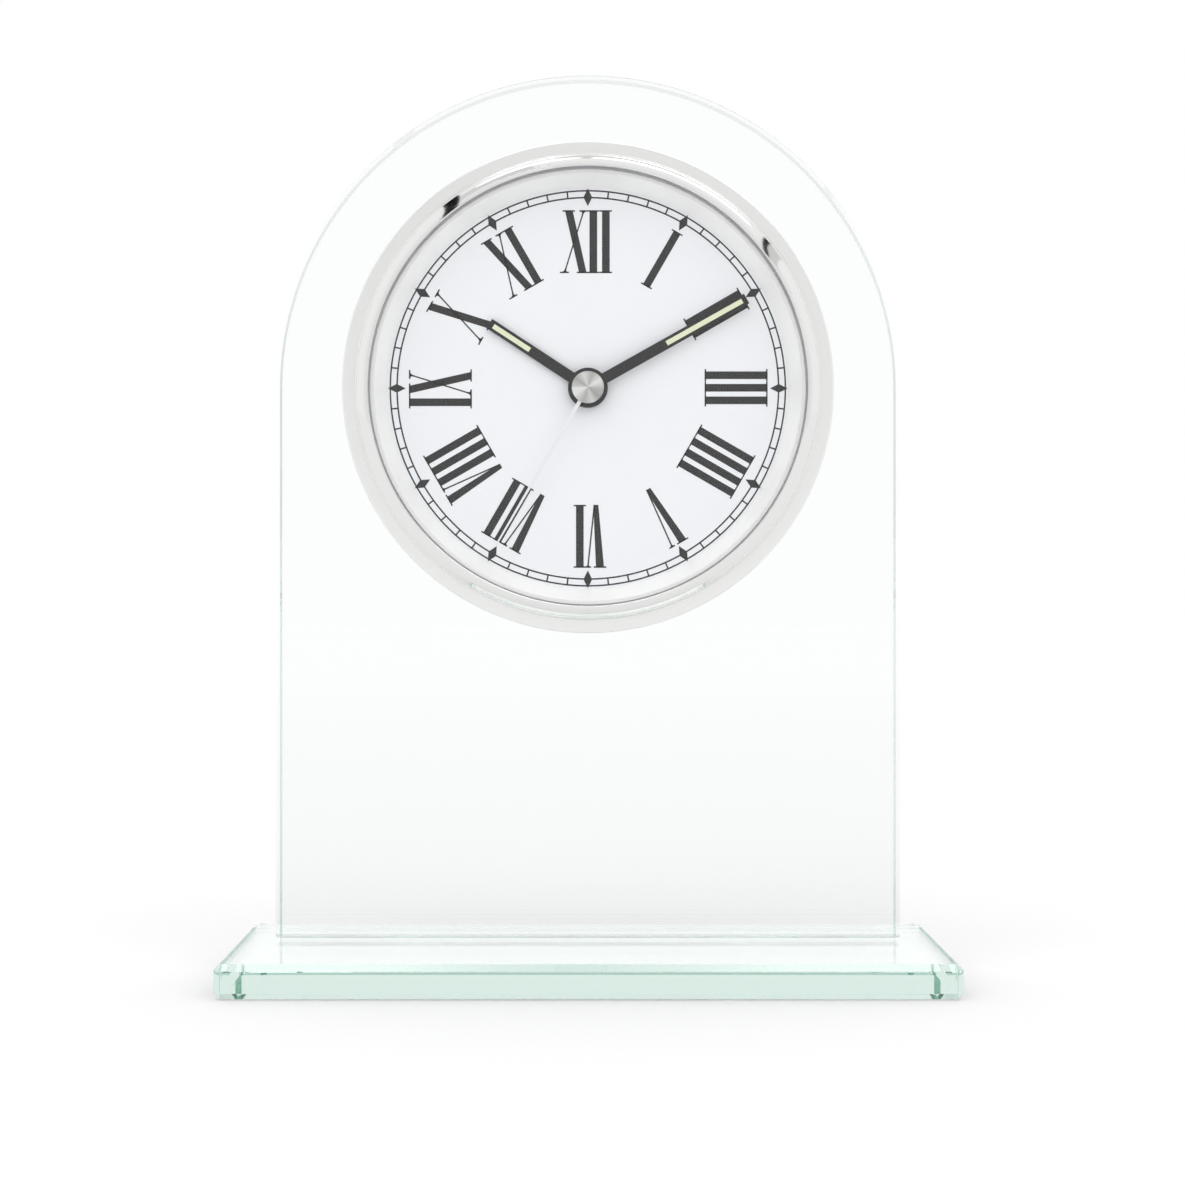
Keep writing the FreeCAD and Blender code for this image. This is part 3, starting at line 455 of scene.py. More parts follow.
def set_round(tree, circle, shape):
    """Sets a shape at each point of a circle, with its X axis pointing outwards."""
    where = add(tree, "GeometryNodeInputPosition")
    outward = add(tree, "FunctionNodeAlignRotationToVector", links={"Vector": (where, 0)}, axis="X")
    return add(tree, "GeometryNodeInstanceOnPoints", links={
        "Points": (circle, 0), "Instance": (shape, 0), "Rotation": (outward, 0)})


def minute_track_tree():
    """Two fine rings with marks between them."""
    tree, given = new_growth(
        "Minute track", Float=["Outer radius", "Inner radius", "Line width", "Ink height"], Int=["Marks"])
    section = add(tree, "GeometryNodeCurvePrimitiveQuadrilateral", links={
        "Width": (given, "Line width"), "Height": (given, "Ink height")})
    rings = []
    for label in ("Outer radius", "Inner radius"):
        circle = add(tree, "GeometryNodeCurvePrimitiveCircle", {"Resolution": 240},
                     {"Radius": (given, label)})
        upright = add(tree, "GeometryNodeSetCurveNormal", links={0: (circle, 0)}, mode="Z_UP")
        rings.append(add(tree, "GeometryNodeCurveToMesh",
                         links={"Curve": (upright, 0), "Profile Curve": (section, 0)}))
    radii = {0: (given, "Outer radius"), 1: (given, "Inner radius")}
    span = add(tree, "ShaderNodeMath", links=radii, operation="SUBTRACT")
    total = add(tree, "ShaderNodeMath", links=radii, operation="ADD")
    middle = add(tree, "ShaderNodeMath", {1: 0.5}, {0: (total, 0)}, operation="MULTIPLY")
    size = add(tree, "ShaderNodeCombineXYZ", links={
        "X": (span, 0), "Y": (given, "Line width"), "Z": (given, "Ink height")})
    mark = add(tree, "GeometryNodeMeshCube", links={"Size": (size, 0)})
    spots = add(tree, "GeometryNodeMeshCircle", links={"Vertices": (given, "Marks"), "Radius": (middle, 0)})
    marks = set_round(tree, spots, mark)
    joined = add(tree, "GeometryNodeJoinGeometry", links={0: [(part, 0) for part in (*rings, marks)]})
    return end_on_dial(tree, given, joined)


def hour_diamond_tree():
    """Twelve diamonds across the minute track, each pointing along its radius."""
    tree, given = new_growth("Hour diamonds", Float=["Middle radius", "Length", "Width", "Ink height"])
    block = add(tree, "GeometryNodeMeshCylinder", {"Vertices": 4, "Radius": 0.5, "Depth": 1.0})
    size = add(tree, "ShaderNodeCombineXYZ", links={
        "X": (given, "Length"), "Y": (given, "Width"), "Z": (given, "Ink height")})
    diamond = add(tree, "GeometryNodeTransform", links={0: (block, 0), "Scale": (size, 0)})
    spots = add(tree, "GeometryNodeMeshCircle", {"Vertices": 12}, {"Radius": (given, "Middle radius")})
    return end_on_dial(tree, given, set_round(tree, spots, diamond))


class CLOCK_OT_minute_track(bpy.types.Operator):
    """Print the minute track and the hour diamonds on the dial"""
    bl_idname = "clock.minute_track"
    bl_label = "Minute track and diamonds"

    def execute(self, context):
        dial = context.scene.clock_dial
        ink = bpy.data.materials[INK]
        track = grow("dial_minute_track", minute_track_tree(), {
            "Outer radius": dial.track_outer * MM, "Inner radius": dial.track_inner * MM,
            "Line width": dial.line_width * MM, "Ink height": dial.ink_height * MM,
            "Marks": dial.minute_marks}, ink)
        mesh_piece(track, ink)
        # The diamonds' ink stands higher than the track's, so that the two tops never lie in one plane.
        diamonds = grow("dial_hour_diamonds", hour_diamond_tree(), {
            "Middle radius": dial.diamond_middle * MM, "Length": dial.diamond_length * MM,
            "Width": dial.diamond_width * MM, "Ink height": 1.4 * dial.ink_height * MM}, ink)
        mesh_piece(diamonds, ink)
        return {"FINISHED"}


# Roman numerals, drawn as strokes in mm

# Each letter's strokes, in mm from its middle, first at the head and then at the foot: the two edges of
# a broad one and the middle of a hairline. Where ends is 2, the feet have serifs too, and serif is how
# far a hairline's serif reaches to each side.
LETTERS = {
    "I": {"edges": (-0.7, 0.7), "broad": [(-0.7, 0.7, -0.7, 0.7)], "fine": [], "ends": 2},
    "V": {"edges": (-1.46, 1.38), "broad": [(-1.46, 0.02, -0.42, 0.5)], "fine": [(1.52, 0.32)],
          "ends": 1, "serif": 0.6},
    "X": {"edges": (-1.73, 1.89), "broad": [(-1.73, -0.32, 0.9, 2.27)], "fine": [(1.77, -1.82)],
          "ends": 2, "serif": 0.83},
}
LETTER_GAP = 0.91
# How far a broad stroke's serif reaches past it.
SERIF_REACH = 0.43
# The bracket between a hairline and its serif: its two widths as shares of the serif's, and the
# heights at which it thins and ends.
BRACKET_ROOT, BRACKET_WAIST = 0.55, 0.22
BRACKET_THINS, BRACKET_ENDS = 0.45, 0.9
# Each numeral from XII on, with how far it is set round the dial and out from the centre.
NUMERALS = (
    ("XII", -0.1, -0.1), ("I", -0.1, 0.3), ("II", 0.0, 0.25), ("III", -0.1, 0.2), ("IIII", -0.1, 0.1),
    ("V", -0.4, 0.3), ("VI", -0.4, 0.15), ("VII", -0.35, -0.15), ("VIII", -0.95, -0.35),
    ("IX", -0.3, 0.05), ("X", -0.4, 0.0), ("XI", -0.4, 0.0))


def letter_shapes(letter, foot, head, hairline):
    """The strokes and serifs of one letter, about its middle, as lists of corners."""
    half = hairline / 2
    shapes = []
    for head_left, head_right, foot_left, foot_right in letter["broad"]:
        shapes.append([(foot_left, foot), (foot_right, foot), (head_right, head), (head_left, head)])
        ends = [(head, head_left, head_right, -1), (foot, foot_left, foot_right, 1)]
        for edge, left, right, inward in ends[:letter["ends"]]:
            low_x, high_x = left - SERIF_REACH, right + SERIF_REACH
            rise = edge + inward * hairline
            shapes.append([(low_x, edge), (high_x, edge), (high_x, rise), (low_x, rise)])
    for head_x, foot_x in letter["fine"]:
        shapes.append([(foot_x - half, foot), (foot_x + half, foot), (head_x + half, head),
                       (head_x - half, head)])
        slant = (head_x - foot_x) / (head - foot)
        reach = letter["serif"]
        bracket = ((BRACKET_ROOT * reach, hairline), (BRACKET_WAIST * reach, BRACKET_THINS),
                   (half, BRACKET_ENDS))
        for edge, x, inward in [(head, head_x, -1), (foot, foot_x, 1)][:letter["ends"]]:
            outline = [(x - reach, 0.0), (x + reach, 0.0), (x + reach, hairline)]
            outline += [(x + inward * slant * rise + wide, rise) for wide, rise in bracket]
            outline += [(x + inward * slant * rise - wide, rise) for wide, rise in reversed(bracket)]
            outline.append((x - reach, hairline))
            shapes.append([(across, edge + inward * rise) for across, rise in outline])
    return shapes


def numeral_shapes(text, foot, head, hairline):
    """The shapes of a whole numeral, centred on its radius."""
    letters = [LETTERS[character] for character in text]
    edges = [letter["edges"] for letter in letters]
    width = LETTER_GAP * (len(text) - 1) + sum(right - left for left, right in edges)
    pen = -width / 2
    shapes = []
    for letter, (left, right) in zip(letters, edges):
        for corners in letter_shapes(letter, foot, head, hairline):
            shapes.append([(pen - left + x, z) for x, z in corners])
        pen += right - left + LETTER_GAP
    return shapes


class CLOCK_OT_numerals(bpy.types.Operator):
    """Print the twelve Roman numerals, each with its foot towards the centre"""
    bl_idname = "clock.numerals"
    bl_label = "Roman numerals"

    def execute(self, context):
        dial = context.scene.clock_dial
        ink_y = dial_face_y - dial.ink_height * MM
        centre = Matrix.Translation((0, 0, axis_z))
        builder = bmesh.new()
        for hour, (text, round_dial, outward) in enumerate(NUMERALS):
            place = centre @ Matrix.Rotation(math.radians(hour * 30), 4, "Y")
            for corners in numeral_shapes(text, dial.numeral_foot, dial.numeral_head, dial.hairline):
                scaled = [((x + round_dial) * MM, (z + outward) * MM) for x, z in corners]
                raised(builder, scaled, dial_face_y, ink_y, place)
        mesh_piece(outward_mesh(builder, "dial_numerals"), bpy.data.materials[INK])
        return {"FINISHED"}


# Turned and moulded pieces

def quarter_round(radius, y, across, along):
    """A quarter turn about a point (radius, depth) of an outline, from its side to its end."""
    turns = [math.radians(15 * number) for number in range(7)]
    return [(radius + across * math.cos(turn), y + along * math.sin(turn)) for turn in turns]


def turned_mesh(name, profile, place, segments):
    """A closed outline of (radius, depth), turned about the Y axis through a place (x, z)."""
    builder = bmesh.new()
    rings = []
    for number in range(segments):
        angle = 2 * math.pi * number / segments
        across, up = math.cos(angle), math.sin(angle)
        rings.append([builder.verts.new((place[0] + radius * across, y, place[1] + radius * up))
                      for radius, y in profile])
    for number, ring in enumerate(rings):
        follow = rings[(number + 1) % segments]
        for corner in range(len(profile)):
            after = (corner + 1) % len(profile)
            builder.faces.new((ring[corner], ring[after], follow[after], follow[corner]))
    bmesh.ops.remove_doubles(builder, verts=builder.verts, dist=0.0001 * MM)
    return outward_mesh(builder, name)


def smooth(mesh, degrees):
    """Smooth shading, with the edges sharper than an angle kept crisp."""
    mesh.shade_smooth()
    mesh.set_sharp_from_angle(angle=math.radians(degrees))


class CLOCK_OT_bezel_flange(bpy.types.Operator):
    """Turn the broad satin flange, with a soft outer edge, a hair off the glass behind it"""
    bl_idname = "clock.bezel_flange"
    bl_label = "Bezel flange"

    def execute(self, context):
        low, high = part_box("bezel_flange")
        outer = high.x
        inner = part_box("rear_cup")[1].x + 0.05 * MM
        edge = 0.35 * MM
        # Two faces in one plane would render as dark shards.
        back = high.y - 0.03 * MM
        mesh = turned_mesh("bezel_flange_turned", [
            (inner, back), (outer, back), *quarter_round(outer - edge, low.y + edge, edge, -edge),
            (inner, low.y)], (0.0, axis_z), 200)
        smooth(mesh, 35)
        piece = mesh_piece(mesh, finish_of("bezel_flange"))
        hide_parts("bezel_flange")
        return {"FINISHED"}


class CLOCK_OT_lens(bpy.types.Operator):
    """Grind the lens, with softened rims, a hair off the reflector behind it"""
    bl_idname = "clock.lens"
    bl_label = "Lens"

    def execute(self, context):
        low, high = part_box("lens")
        radius = high.x
        back = high.y - 0.02 * MM
        rim = 0.15 * MM
        mesh = turned_mesh("lens_ground", [
            (0.0, low.y), (radius - rim, low.y), (radius, low.y + rim), (radius, back - rim),
            (radius - rim, back), (0.0, back)], (0.0, axis_z), 200)
        smooth(mesh, 30)
        piece = mesh_piece(mesh, finish_of("lens"))
        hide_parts("lens")
        return {"FINISHED"}


def screw_tree(screw):
    """One screw set at both ends of a line."""
    tree, given = new_growth("Screw pair", Vector=["First", "Last"])
    ends = add(tree, "GeometryNodeMeshLine", {"Count": 2}, {
        "Start Location": (given, "First"), "Offset": (given, "Last")}, mode="END_POINTS")
    one = add(tree, "GeometryNodeObjectInfo", {"Object": screw})
    both = add(tree, "GeometryNodeInstanceOnPoints",
               links={"Points": (ends, 0), "Instance": (one, "Geometry")})
    return end_growth(tree, given, both)


def screw_profile(radius, head_radius, head_height, length):
    """Half the outline of a pan-head screw along +Y, from its point to the crown of its head."""
    thread_turns = 7
    point, root, neck = 0.7 * radius, 0.78 * radius, 0.8 * radius
    lead = 0.1 * MM
    pitch = (length - 2 * lead) / thread_turns
    profile = [(0.0, -length), (point, -length)]
    for number in range(thread_turns):
        y = -length + lead + number * pitch
        profile += [(root, y), (radius, y + 0.5 * pitch)]
    # The head's side is straight up to its shoulder, and its crown is flat.
    crown, shoulder = 0.72 * head_radius, 0.45 * head_height
    dome = quarter_round(crown, shoulder, head_radius - crown, head_height - shoulder)
    return [*profile, (neck, 0.0), (head_radius, 0.0), *dome[:-1], (0.0, head_height)]


def pan_head_screw(radius, head_radius, head_height, length):
    """A pan-head screw along +Y, its head from y = 0 backwards, with a cross recess and a fine thread."""
    profile = screw_profile(radius, head_radius, head_height, length)
    body = show("screw_body", turned_mesh("screw_body", profile, (0.0, 0.0), 40))
    long = 0.68 * head_radius
    wide = 0.17 * head_radius
    cross = [(long, -wide), (long, wide), (wide, wide), (wide, long), (-wide, long), (-wide, wide),
             (-long, wide), (-long, -wide), (-wide, -wide), (-wide, -long), (wide, -long), (wide, -wide)]
    builder = bmesh.new()
    recess_floor, past_crown = 0.3 * head_height, 1.5 * head_height
    raised(builder, cross, recess_floor, past_crown)
    cutter = show("screw_recess", outward_mesh(builder, "screw_recess"))
    recess = body.modifiers.new("recess", "BOOLEAN")
    recess.operation = "DIFFERENCE"
    recess.solver = "EXACT"
    recess.object = cutter
    mesh = plain_mesh(body)
    bpy.data.objects.remove(cutter)
    builder = bmesh.new()
    builder.from_mesh(mesh)
    bmesh.ops.triangulate(builder, faces=[face for face in builder.faces if len(face.verts) > 4])
    builder.to_mesh(mesh)
    builder.free()
    return mesh


class CLOCK_OT_movement_screws(bpy.types.Operator):
    """Set the two pan-head screws that hold the movement in the cup"""
    bl_idname = "clock.movement_screws"
    bl_label = "Movement screws"

    def execute(self, context):
        low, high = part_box("movement_screws")
        shank_radius = 1.0 * MM
        head_radius = 2.2 * MM
        head_height = 1.1 * MM
        seat_y = high.y - head_height
        screw = show("screw_pattern",
                     pan_head_screw(shank_radius, head_radius, head_height, seat_y - low.y))
        finish = finish_of("movement_screws")
        reach = high.x - head_radius
        pair = grow("movement_screw_pair", screw_tree(screw), {
            "First": (-reach, seat_y, axis_z), "Last": (reach, seat_y, axis_z)}, finish)
        bpy.data.objects.remove(screw)
        smooth(pair, 30)
        piece = mesh_piece(pair, finish)
        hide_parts("movement_screws")
        return {"FINISHED"}


def arc_arrow(middle, radius, width, start, end):
    """The outline of a curved arrow about a middle, with its head at the end angle, in degrees."""
    def spot(reach, degrees):
        angle = math.radians(degrees)
        return (middle[0] + reach * math.cos(angle), middle[1] + reach * math.sin(angle))

    steps = 14
    # The head's length is a share of the arc, and its barbs reach some widths off the middle.
    head_share, barb = 0.3, 1.6
    turns = [start + (end - start) * number / steps for number in range(steps + 1)]
    outer = [spot(radius + width / 2, degrees) for degrees in turns]
    inner = [spot(radius - width / 2, degrees) for degrees in turns]
    tip = end + (end - start) * head_share
    head = [spot(radius + barb * width, end), spot(radius, tip), spot(radius - barb * width, end)]
    return outer + head + inner[::-1]


class CLOCK_OT_case_mouldings(bpy.types.Operator):
    """Mould the case's back: a rim round the setting knob, two turning arrows and the cell's two poles"""
    bl_idname = "clock.case_mouldings"
    bl_label = "Case mouldings"

    def execute(self, context):
        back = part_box("movement_back_case")[1].y
        knob_low, knob_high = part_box("setting_knob")
        cell_low, cell_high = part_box("battery_cell")
        middle = ((knob_low.x + knob_high.x) / 2, (knob_low.z + knob_high.z) / 2)
        knob_radius = (knob_high.x - knob_low.x) / 2
        root = back - 0.2 * MM
        rim_top = back + 0.3 * MM
        mark_top = back + 0.25 * MM
        rim_gap, rim_width, edge = 0.75 * MM, 1.1 * MM, 0.22 * MM
        inner = knob_radius + rim_gap
        outer = inner + rim_width
        rim = turned_mesh("case_knob_rim", [
            (inner, root), (outer, root), (outer, rim_top - edge), (outer - edge, rim_top),
            (inner + edge, rim_top), (inner, rim_top - edge)], middle, 96)
        smooth(rim, 40)
        mesh_piece(rim, finish_of("movement_back_case"))

        builder = bmesh.new()
        arrow_off, arrow_width, arrow_sweep = 2.3 * MM, 0.9 * MM, 48
        for start in (20, 200):
            arrow = arc_arrow(middle, outer + arrow_off, arrow_width, start, start + arrow_sweep)
            raised(builder, arrow, root, mark_top)
        # A minus over one end of the cell and a plus over the other, whose upright is in two parts, so
        # that no two bars overlap. The sizes are half a bar's thickness and half its length.
        bar, arm = 0.35 * MM, 1.5 * MM
        inset = 4 * MM
        minus_x, plus_x = cell_low.x + inset, cell_high.x - inset
        pole_z = cell_high.z + 3.0 * MM
        for left, right, low_z, high_z in (
                (minus_x - arm, minus_x + arm, pole_z - bar, pole_z + bar),
                (plus_x - arm, plus_x + arm, pole_z - bar, pole_z + bar),
                (plus_x - bar, plus_x + bar, pole_z - arm, pole_z - bar),
                (plus_x - bar, plus_x + bar, pole_z + bar, pole_z + arm)):
            raised(builder, [(left, low_z), (right, low_z), (right, high_z), (left, high_z)], root, mark_top)
        # The same black ABS where the mould is polished, painted a little lighter than the case: the raised
        # marks catch
        #         the light by their polish and by a painted highlight.
        polished = grained("abs_black_polished", "#2b2b2d", 0.16, 0.0, 0.4, 0.002, 0.03, 1.5)
        mesh_piece(outward_mesh(builder, "case_marks"), polished)
        return {"FINISHED"}


def winding_tree():
    """Wire wound once along a former: the former's tube with the turns on it, along X."""
    tree, given = new_growth(
        "Winding", Float=["Former radius", "Wire radius", "Length", "Turns"], Vector=["Middle"])
    helix = add(tree, "GeometryNodeCurveSpiral", {"Resolution": 14}, {
        "Rotations": (given, "Turns"), "Start Radius": (given, "Former radius"),
        "End Radius": (given, "Former radius"), "Height": (given, "Length")})
    section = add(tree, "GeometryNodeCurvePrimitiveCircle", {"Resolution": 6},
                  {"Radius": (given, "Wire radius")})
    wire = add(tree, "GeometryNodeCurveToMesh", {"Fill Caps": True}, {
        "Curve": (helix, 0), "Profile Curve": (section, 0)})
    former = add(tree, "GeometryNodeMeshCylinder", {"Vertices": 48}, {
        "Radius": (given, "Former radius"), "Depth": (given, "Length")})
    half = add(tree, "ShaderNodeMath", {1: -0.5}, {0: (given, "Length")}, operation="MULTIPLY")
    drop = add(tree, "ShaderNodeCombineXYZ", links={"Z": (half, 0)})
    centred = add(tree, "GeometryNodeTransform", links={0: (wire, 0), "Translation": (drop, 0)})
    both = add(tree, "GeometryNodeJoinGeometry", links={0: [(centred, 0), (former, 0)]})
    laid = add(tree, "GeometryNodeTransform", {"Rotation": (0.0, math.radians(90), 0.0)}, {
        0: (both, 0), "Translation": (given, "Middle")})
    return end_growth(tree, given, laid)


class CLOCK_OT_coil_winding(bpy.types.Operator):
    """Wind the motor's coil with enamelled wire"""
    bl_idname = "clock.coil_winding"
    bl_label = "Coil winding"

    def execute(self, context):
        low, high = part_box("coil_winding")
        # Far thicker than the real wire, so that the turns show.
        wire = 0.1 * MM
        pitch = 2.05 * wire
        radius = (high.z - low.z) / 2 - wire
        length = high.x - low.x - 2 * wire
        finish = finish_of("coil_winding")
        mesh = grow("coil_winding_wound", winding_tree(), {
            "Former radius": radius, "Wire radius": wire, "Length": length,
            "Turns": length / pitch, "Middle": tuple((low + high) / 2)}, finish)
        smooth(mesh, 60)
        piece = mesh_piece(mesh, finish)
        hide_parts("coil_winding")
        return {"FINISHED"}


# Finishes on the solids

class CLOCK_OT_finishes(bpy.types.Operator):
    """Give every solid of the clock its finish"""
    bl_idname = "clock.finishes"
    bl_label = "Finishes"

    def execute(self, context):
        finishes = make_finishes(context.scene.clock_finish)
        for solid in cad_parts.values():
            for place in solid.material_slots:
                place.material = finishes[place.material.name]
        # The reflector shares its slot with the plated flange, but is lacquered.
        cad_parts["reflector_ring"].material_slots[0].material = finishes["reflector"]
        return {"FINISHED"}


# Stage

def room(strength):
    """White to the eye and through glass, a little greyer before the clock; even light on the rest."""
    front_grey, front_ends = 0.82, -0.55
    glass_gain = 0.02
    world = bpy.data.worlds.new("plain_room")
    world.use_nodes = True
    tree = world.node_tree
    tree.nodes.clear()
    path = add(tree, "ShaderNodeLightPath")
    clear = add(tree, "ShaderNodeMath",
                links={0: (path, "Is Camera Ray"), 1: (path, "Is Transmission Ray")}, operation="MAXIMUM")
    way = add(tree, "ShaderNodeTexCoord")
    split = add(tree, "ShaderNodeSeparateXYZ", links={"Vector": (way, "Generated")})
    front = add(tree, "ShaderNodeMapRange",
                {"From Min": -1.0, "From Max": front_ends, "To Min": front_grey, "To Max": 1.0},
                {"Value": (split, "Y")}, interpolation_type="SMOOTHSTEP")
    mirrored = add(tree, "ShaderNodeMix", {2: strength},
                   {0: (path, "Is Glossy Ray"), 3: (front, "Result")})
    through = add(tree, "ShaderNodeMath", {1: glass_gain, 2: 1.0}, {0: (path, "Is Transmission Ray")},
                  operation="MULTIPLY_ADD")
    level = add(tree, "ShaderNodeMix", links={0: (clear, 0), 2: (mirrored, 0), 3: (through, 0)})
    light = add(tree, "ShaderNodeBackground", {"Color": WHITE}, {"Strength": (level, 0)})
    add(tree, "ShaderNodeOutputWorld", links={"Surface": (light, "Background")})
    bpy.context.scene.world = world


def floor_finish():
    # Matt white acrylic table: lit plainly, lifted to white where the eye meets it, with the shadow kept.
    # Through glass it glows a little under the base, and far off it pales into the white room.
    base_half_width, base_half_depth, blur = 66 * MM, 27 * MM, 8 * MM
    base_glow = 0.55
    near_glow, far_glow = 0.02, 0.055
    eye_lift = 0.085
    material, tree = new_material("table_white_acrylic")
    path = add(tree, "ShaderNodeLightPath")
    place = add(tree, "ShaderNodeTexCoord")
    split = add(tree, "ShaderNodeSeparateXYZ", links={"Vector": (place, "Object")})
    masks = []
    for axis, reach in (("X", base_half_width), ("Y", base_half_depth)):
        off = add(tree, "ShaderNodeMath", links={0: (split, axis)}, operation="ABSOLUTE")
        masks.append(add(tree, "ShaderNodeMapRange", {
            "From Min": reach - blur, "From Max": reach + blur, "To Min": 1.0, "To Max": 0.0},
            {"Value": (off, 0)}, interpolation_type="SMOOTHSTEP"))
    under = add(tree, "ShaderNodeMath", links={0: (masks[0], 0), 1: (masks[1], 0)}, operation="MULTIPLY")
    far = add(tree, "ShaderNodeMapRange",
              {"From Min": 0.1, "From Max": 1.5, "To Min": near_glow, "To Max": far_glow},
              {"Value": (split, "Y")}, interpolation_type="SMOOTHSTEP")
    shine = add(tree, "ShaderNodeMath", {1: base_glow}, {0: (under, 0), 2: (far, "Result")},
                operation="MULTIPLY_ADD")
    lit = add(tree, "ShaderNodeMath", links={0: (shine, 0), 1: (path, "Is Transmission Ray")},
              operation="MULTIPLY")
    lift = add(tree, "ShaderNodeMath", {1: eye_lift}, {0: (path, "Is Camera Ray"), 2: (lit, 0)},
               operation="MULTIPLY_ADD")
    paint = add(tree, "ShaderNodeBsdfDiffuse", {"Color": linear("#ebebeb")})
    glow = add(tree, "ShaderNodeEmission", {"Color": WHITE}, {"Strength": (lift, 0)})
    both = add(tree, "ShaderNodeAddShader", links={0: (paint, "BSDF"), 1: (glow, "Emission")})
    add(tree, "ShaderNodeOutputMaterial", links={"Surface": (both, "Shader")})
    return material


def floor():
    """The table top, a hair under the base so that the two never touch."""
    mesh = bpy.data.meshes.new("studio_floor")
    half = 3.0
    drop = -0.15 * MM
    corners = [(-half, -half, drop), (half, -half, drop), (half, half, drop), (-half, half, drop)]
    mesh.from_pydata(corners, [], [(0, 1, 2, 3)])
    mesh.materials.append(floor_finish())
    piece = show("studio_floor", mesh)


def soft_sun(name, way, spread, strength):
    """A broad distant light: way points from the clock to it, and spread is its width in degrees.

    Polished metal doesn't mirror it, so the bezel stays even."""
    data = bpy.data.lights.new(name, "SUN")
    data.energy = strength
    data.angle = math.radians(spread)
    piece = show(name, data)
    piece.rotation_euler = (-Vector(way)).to_track_quat("-Z", "Y").to_euler()
    piece.visible_glossy = False


def window(share, breadth, fade):
    """How much of a soft card shows at a share of its breadth: 0 at the edges, 1 past the fade."""
    if fade == 0.0:
        return 1.0
    rise = min(1.0, min(share, 1.0 - share) * breadth / fade)
    return rise * rise * (3.0 - 2.0 * rise)


def strip_card(name, clock_angle, breadth, off_from, off_to, colour, distance=1.0, strength=1.0, fade=0.0):
    """A curved card, out of the camera's sight, for polished metal and ground glass to mirror.

    It runs at one clock angle, from one angle off the dial's front to another, and over its fade it
    pales at the edges into the white room, all in degrees."""
    material, tree = new_material(name + "_paint")
    share = add(tree, "ShaderNodeAttribute", attribute_name="card_share")
    power = add(tree, "ShaderNodeMapRange", {"To Min": 1.0, "To Max": strength}, {"Value": (share, "Fac")})
    paint = add(tree, "ShaderNodeEmission", {"Color": linear(colour)}, {"Strength": (power, "Result")})
    add(tree, "ShaderNodeOutputMaterial", links={"Surface": (paint, "Emission")})
    steps = 12
    row = steps + 1
    corners = []
    shares = []
    for number in range(row):
        along = number / steps
        off = math.radians(off_from + (off_to - off_from) * along)
        for place in range(row):
            across = place / steps
            turn = math.radians(clock_angle + (across - 0.5) * breadth)
            corners.append((distance * math.sin(turn) * math.sin(off), -distance * math.cos(off),
                            axis_z + distance * math.cos(turn) * math.sin(off)))
            shares.append(window(along, off_to - off_from, fade) * window(across, breadth, fade))
    faces = [(k, k + 1, k + row + 1, k + row) for k in range(row * steps) if (k + 1) % row]
    mesh = bpy.data.meshes.new(name)
    mesh.from_pydata(corners, [], faces)
    mesh.attributes.new("card_share", "FLOAT", "POINT").data.foreach_set("value", shares)
    mesh.materials.append(material)
    card = show(name, mesh)
    for ray in ("camera", "diffuse", "shadow", "transmission"):
        setattr(card, "visible_" + ray, False)


# The values that soft_sun and strip_card take. The first five cards give the bezel its dark spots and
# grey streaks, and the softboxes give the base's front edge its white line.
SUNS = (
    ("light_left", (-0.55, -0.6, 0.8), 50, 0.28),
    ("light_right", (0.6, -0.6, 0.7), 40, 0.18))
CARDS = (
    ("card_left", -33.7, 4.6, 18, 125, "#141414"),
    ("card_left_soft", -22.0, 18.0, 50, 80, "#e2e2e2"),
    ("card_top", 8.0, 30.0, 72, 96, "#dedede"),
    ("card_right", 47.8, 2.2, 18, 125, "#202020"),
    ("card_right_soft", 51.0, 4.0, 40, 110, "#dadada"),
    ("softbox_left", -14.0, 26.0, 70, 86, "#ffffff", 0.9, 5.0, 8.0),
    ("softbox_right", 22.0, 42.0, 70, 86, "#ffffff", 0.9, 5.0, 8.0))


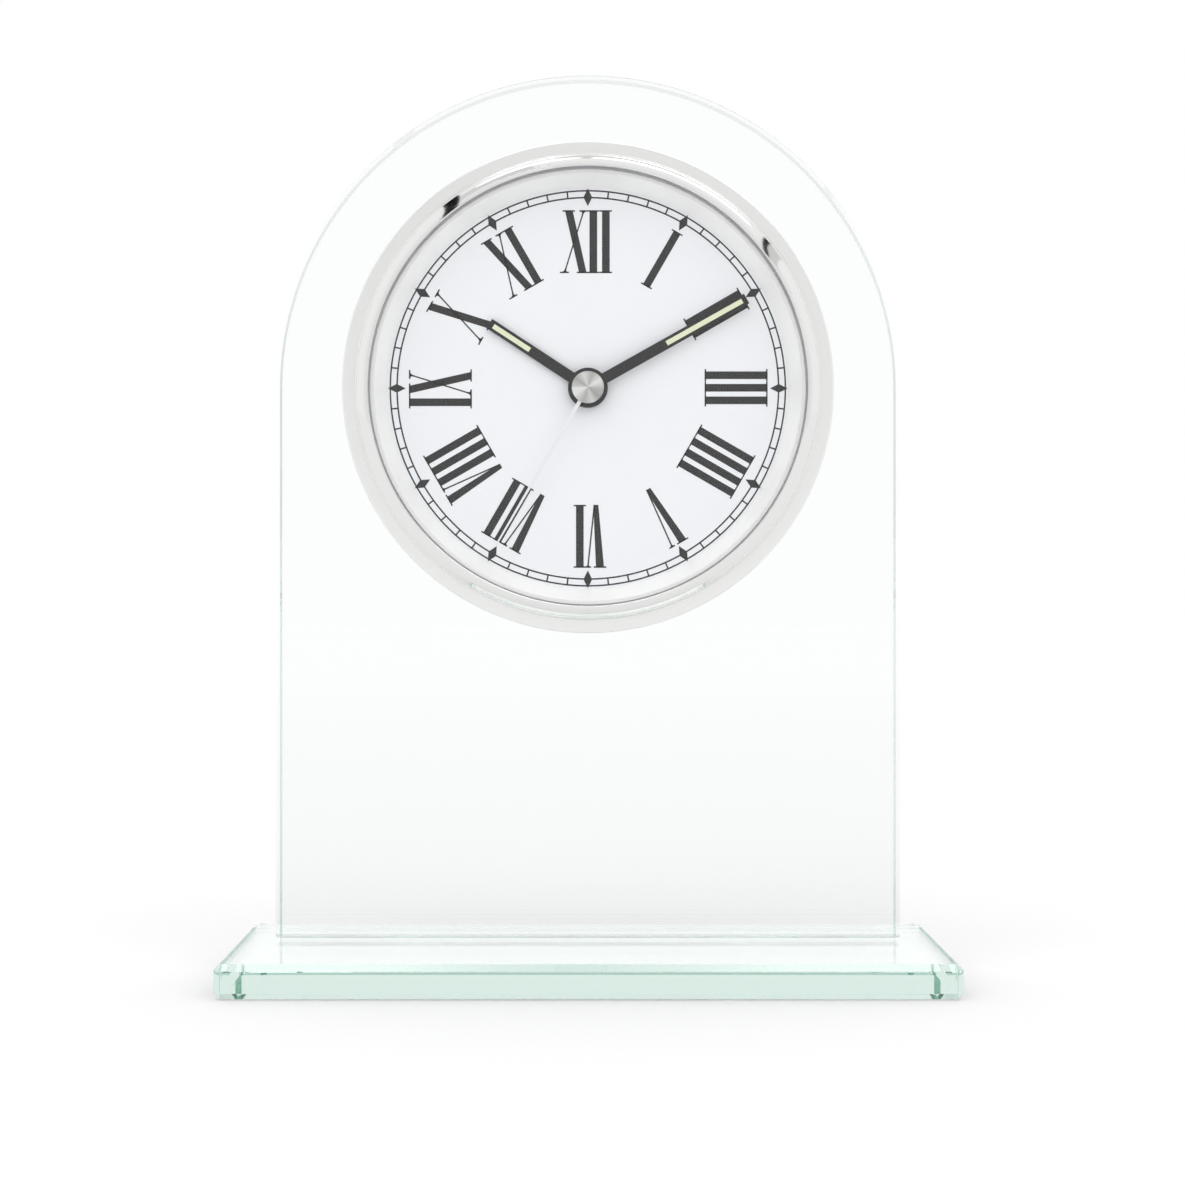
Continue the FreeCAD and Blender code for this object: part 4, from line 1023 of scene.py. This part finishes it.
class CLOCK_OT_studio(bpy.types.Operator):
    """Set the pale floor, the soft light and the camera"""
    bl_idname = "clock.studio"
    bl_label = "Studio"

    def execute(self, context):
        studio = context.scene.clock_studio
        scene = context.scene
        room(studio.sky)
        floor()
        for sun in SUNS:
            soft_sun(*sun)
        for card in CARDS:
            strip_card(*card)
        data = bpy.data.cameras.new("camera")
        data.lens = studio.focal_length
        # The lens is shifted, not tilted, so that the clock's upright edges stay upright.
        data.shift_x = 0.0125
        data.shift_y = -0.01925
        data.clip_start = 0.01
        camera = show("camera", data)
        camera.location = studio.camera_place
        camera.rotation_euler = (math.radians(90), 0.0, 0.0)
        scene.camera = camera
        scene.view_settings.view_transform = "Standard"
        # The light crosses the base's glass many times before it leaves.
        for kind in ("max", "transmission", "glossy"):
            setattr(scene.cycles, kind + "_bounces", 32)
        return {"FINISHED"}


class CLOCK_PT_panel(bpy.types.Panel):
    """The clock's pieces and settings"""
    bl_idname = "CLOCK_PT_panel"
    bl_label = "Glass mantel clock"
    bl_space_type = "VIEW_3D"
    bl_region_type = "UI"
    bl_category = "Clock"

    def draw(self, context):
        for operator in OPERATORS:
            self.layout.operator(operator.bl_idname)
        for group in GROUPS:
            settings = getattr(context.scene, group)
            for name in settings.__annotations__:
                self.layout.prop(settings, name)


OPERATORS = (
    CLOCK_OT_finishes, CLOCK_OT_minute_track, CLOCK_OT_numerals, CLOCK_OT_bezel_flange, CLOCK_OT_lens,
    CLOCK_OT_movement_screws, CLOCK_OT_case_mouldings, CLOCK_OT_coil_winding, CLOCK_OT_studio)
GROUPS = {"clock_dial": DialPrintSettings, "clock_finish": FinishSettings, "clock_studio": StudioSettings}


def register():
    for item in (*GROUPS.values(), *OPERATORS, CLOCK_PT_panel):
        bpy.utils.register_class(item)
    for group, settings in GROUPS.items():
        setattr(bpy.types.Scene, group, bpy.props.PointerProperty(type=settings))


def unregister():
    for group in GROUPS:
        delattr(bpy.types.Scene, group)
    for item in reversed((*GROUPS.values(), *OPERATORS, CLOCK_PT_panel)):
        bpy.utils.unregister_class(item)


def main():
    register()
    bpy.ops.clock.finishes()
    bpy.ops.clock.minute_track()
    bpy.ops.clock.numerals()
    bpy.ops.clock.bezel_flange()
    bpy.ops.clock.lens()
    bpy.ops.clock.movement_screws()
    bpy.ops.clock.case_mouldings()
    bpy.ops.clock.coil_winding()
    bpy.ops.clock.studio()


if __name__ == "__main__":
    main()
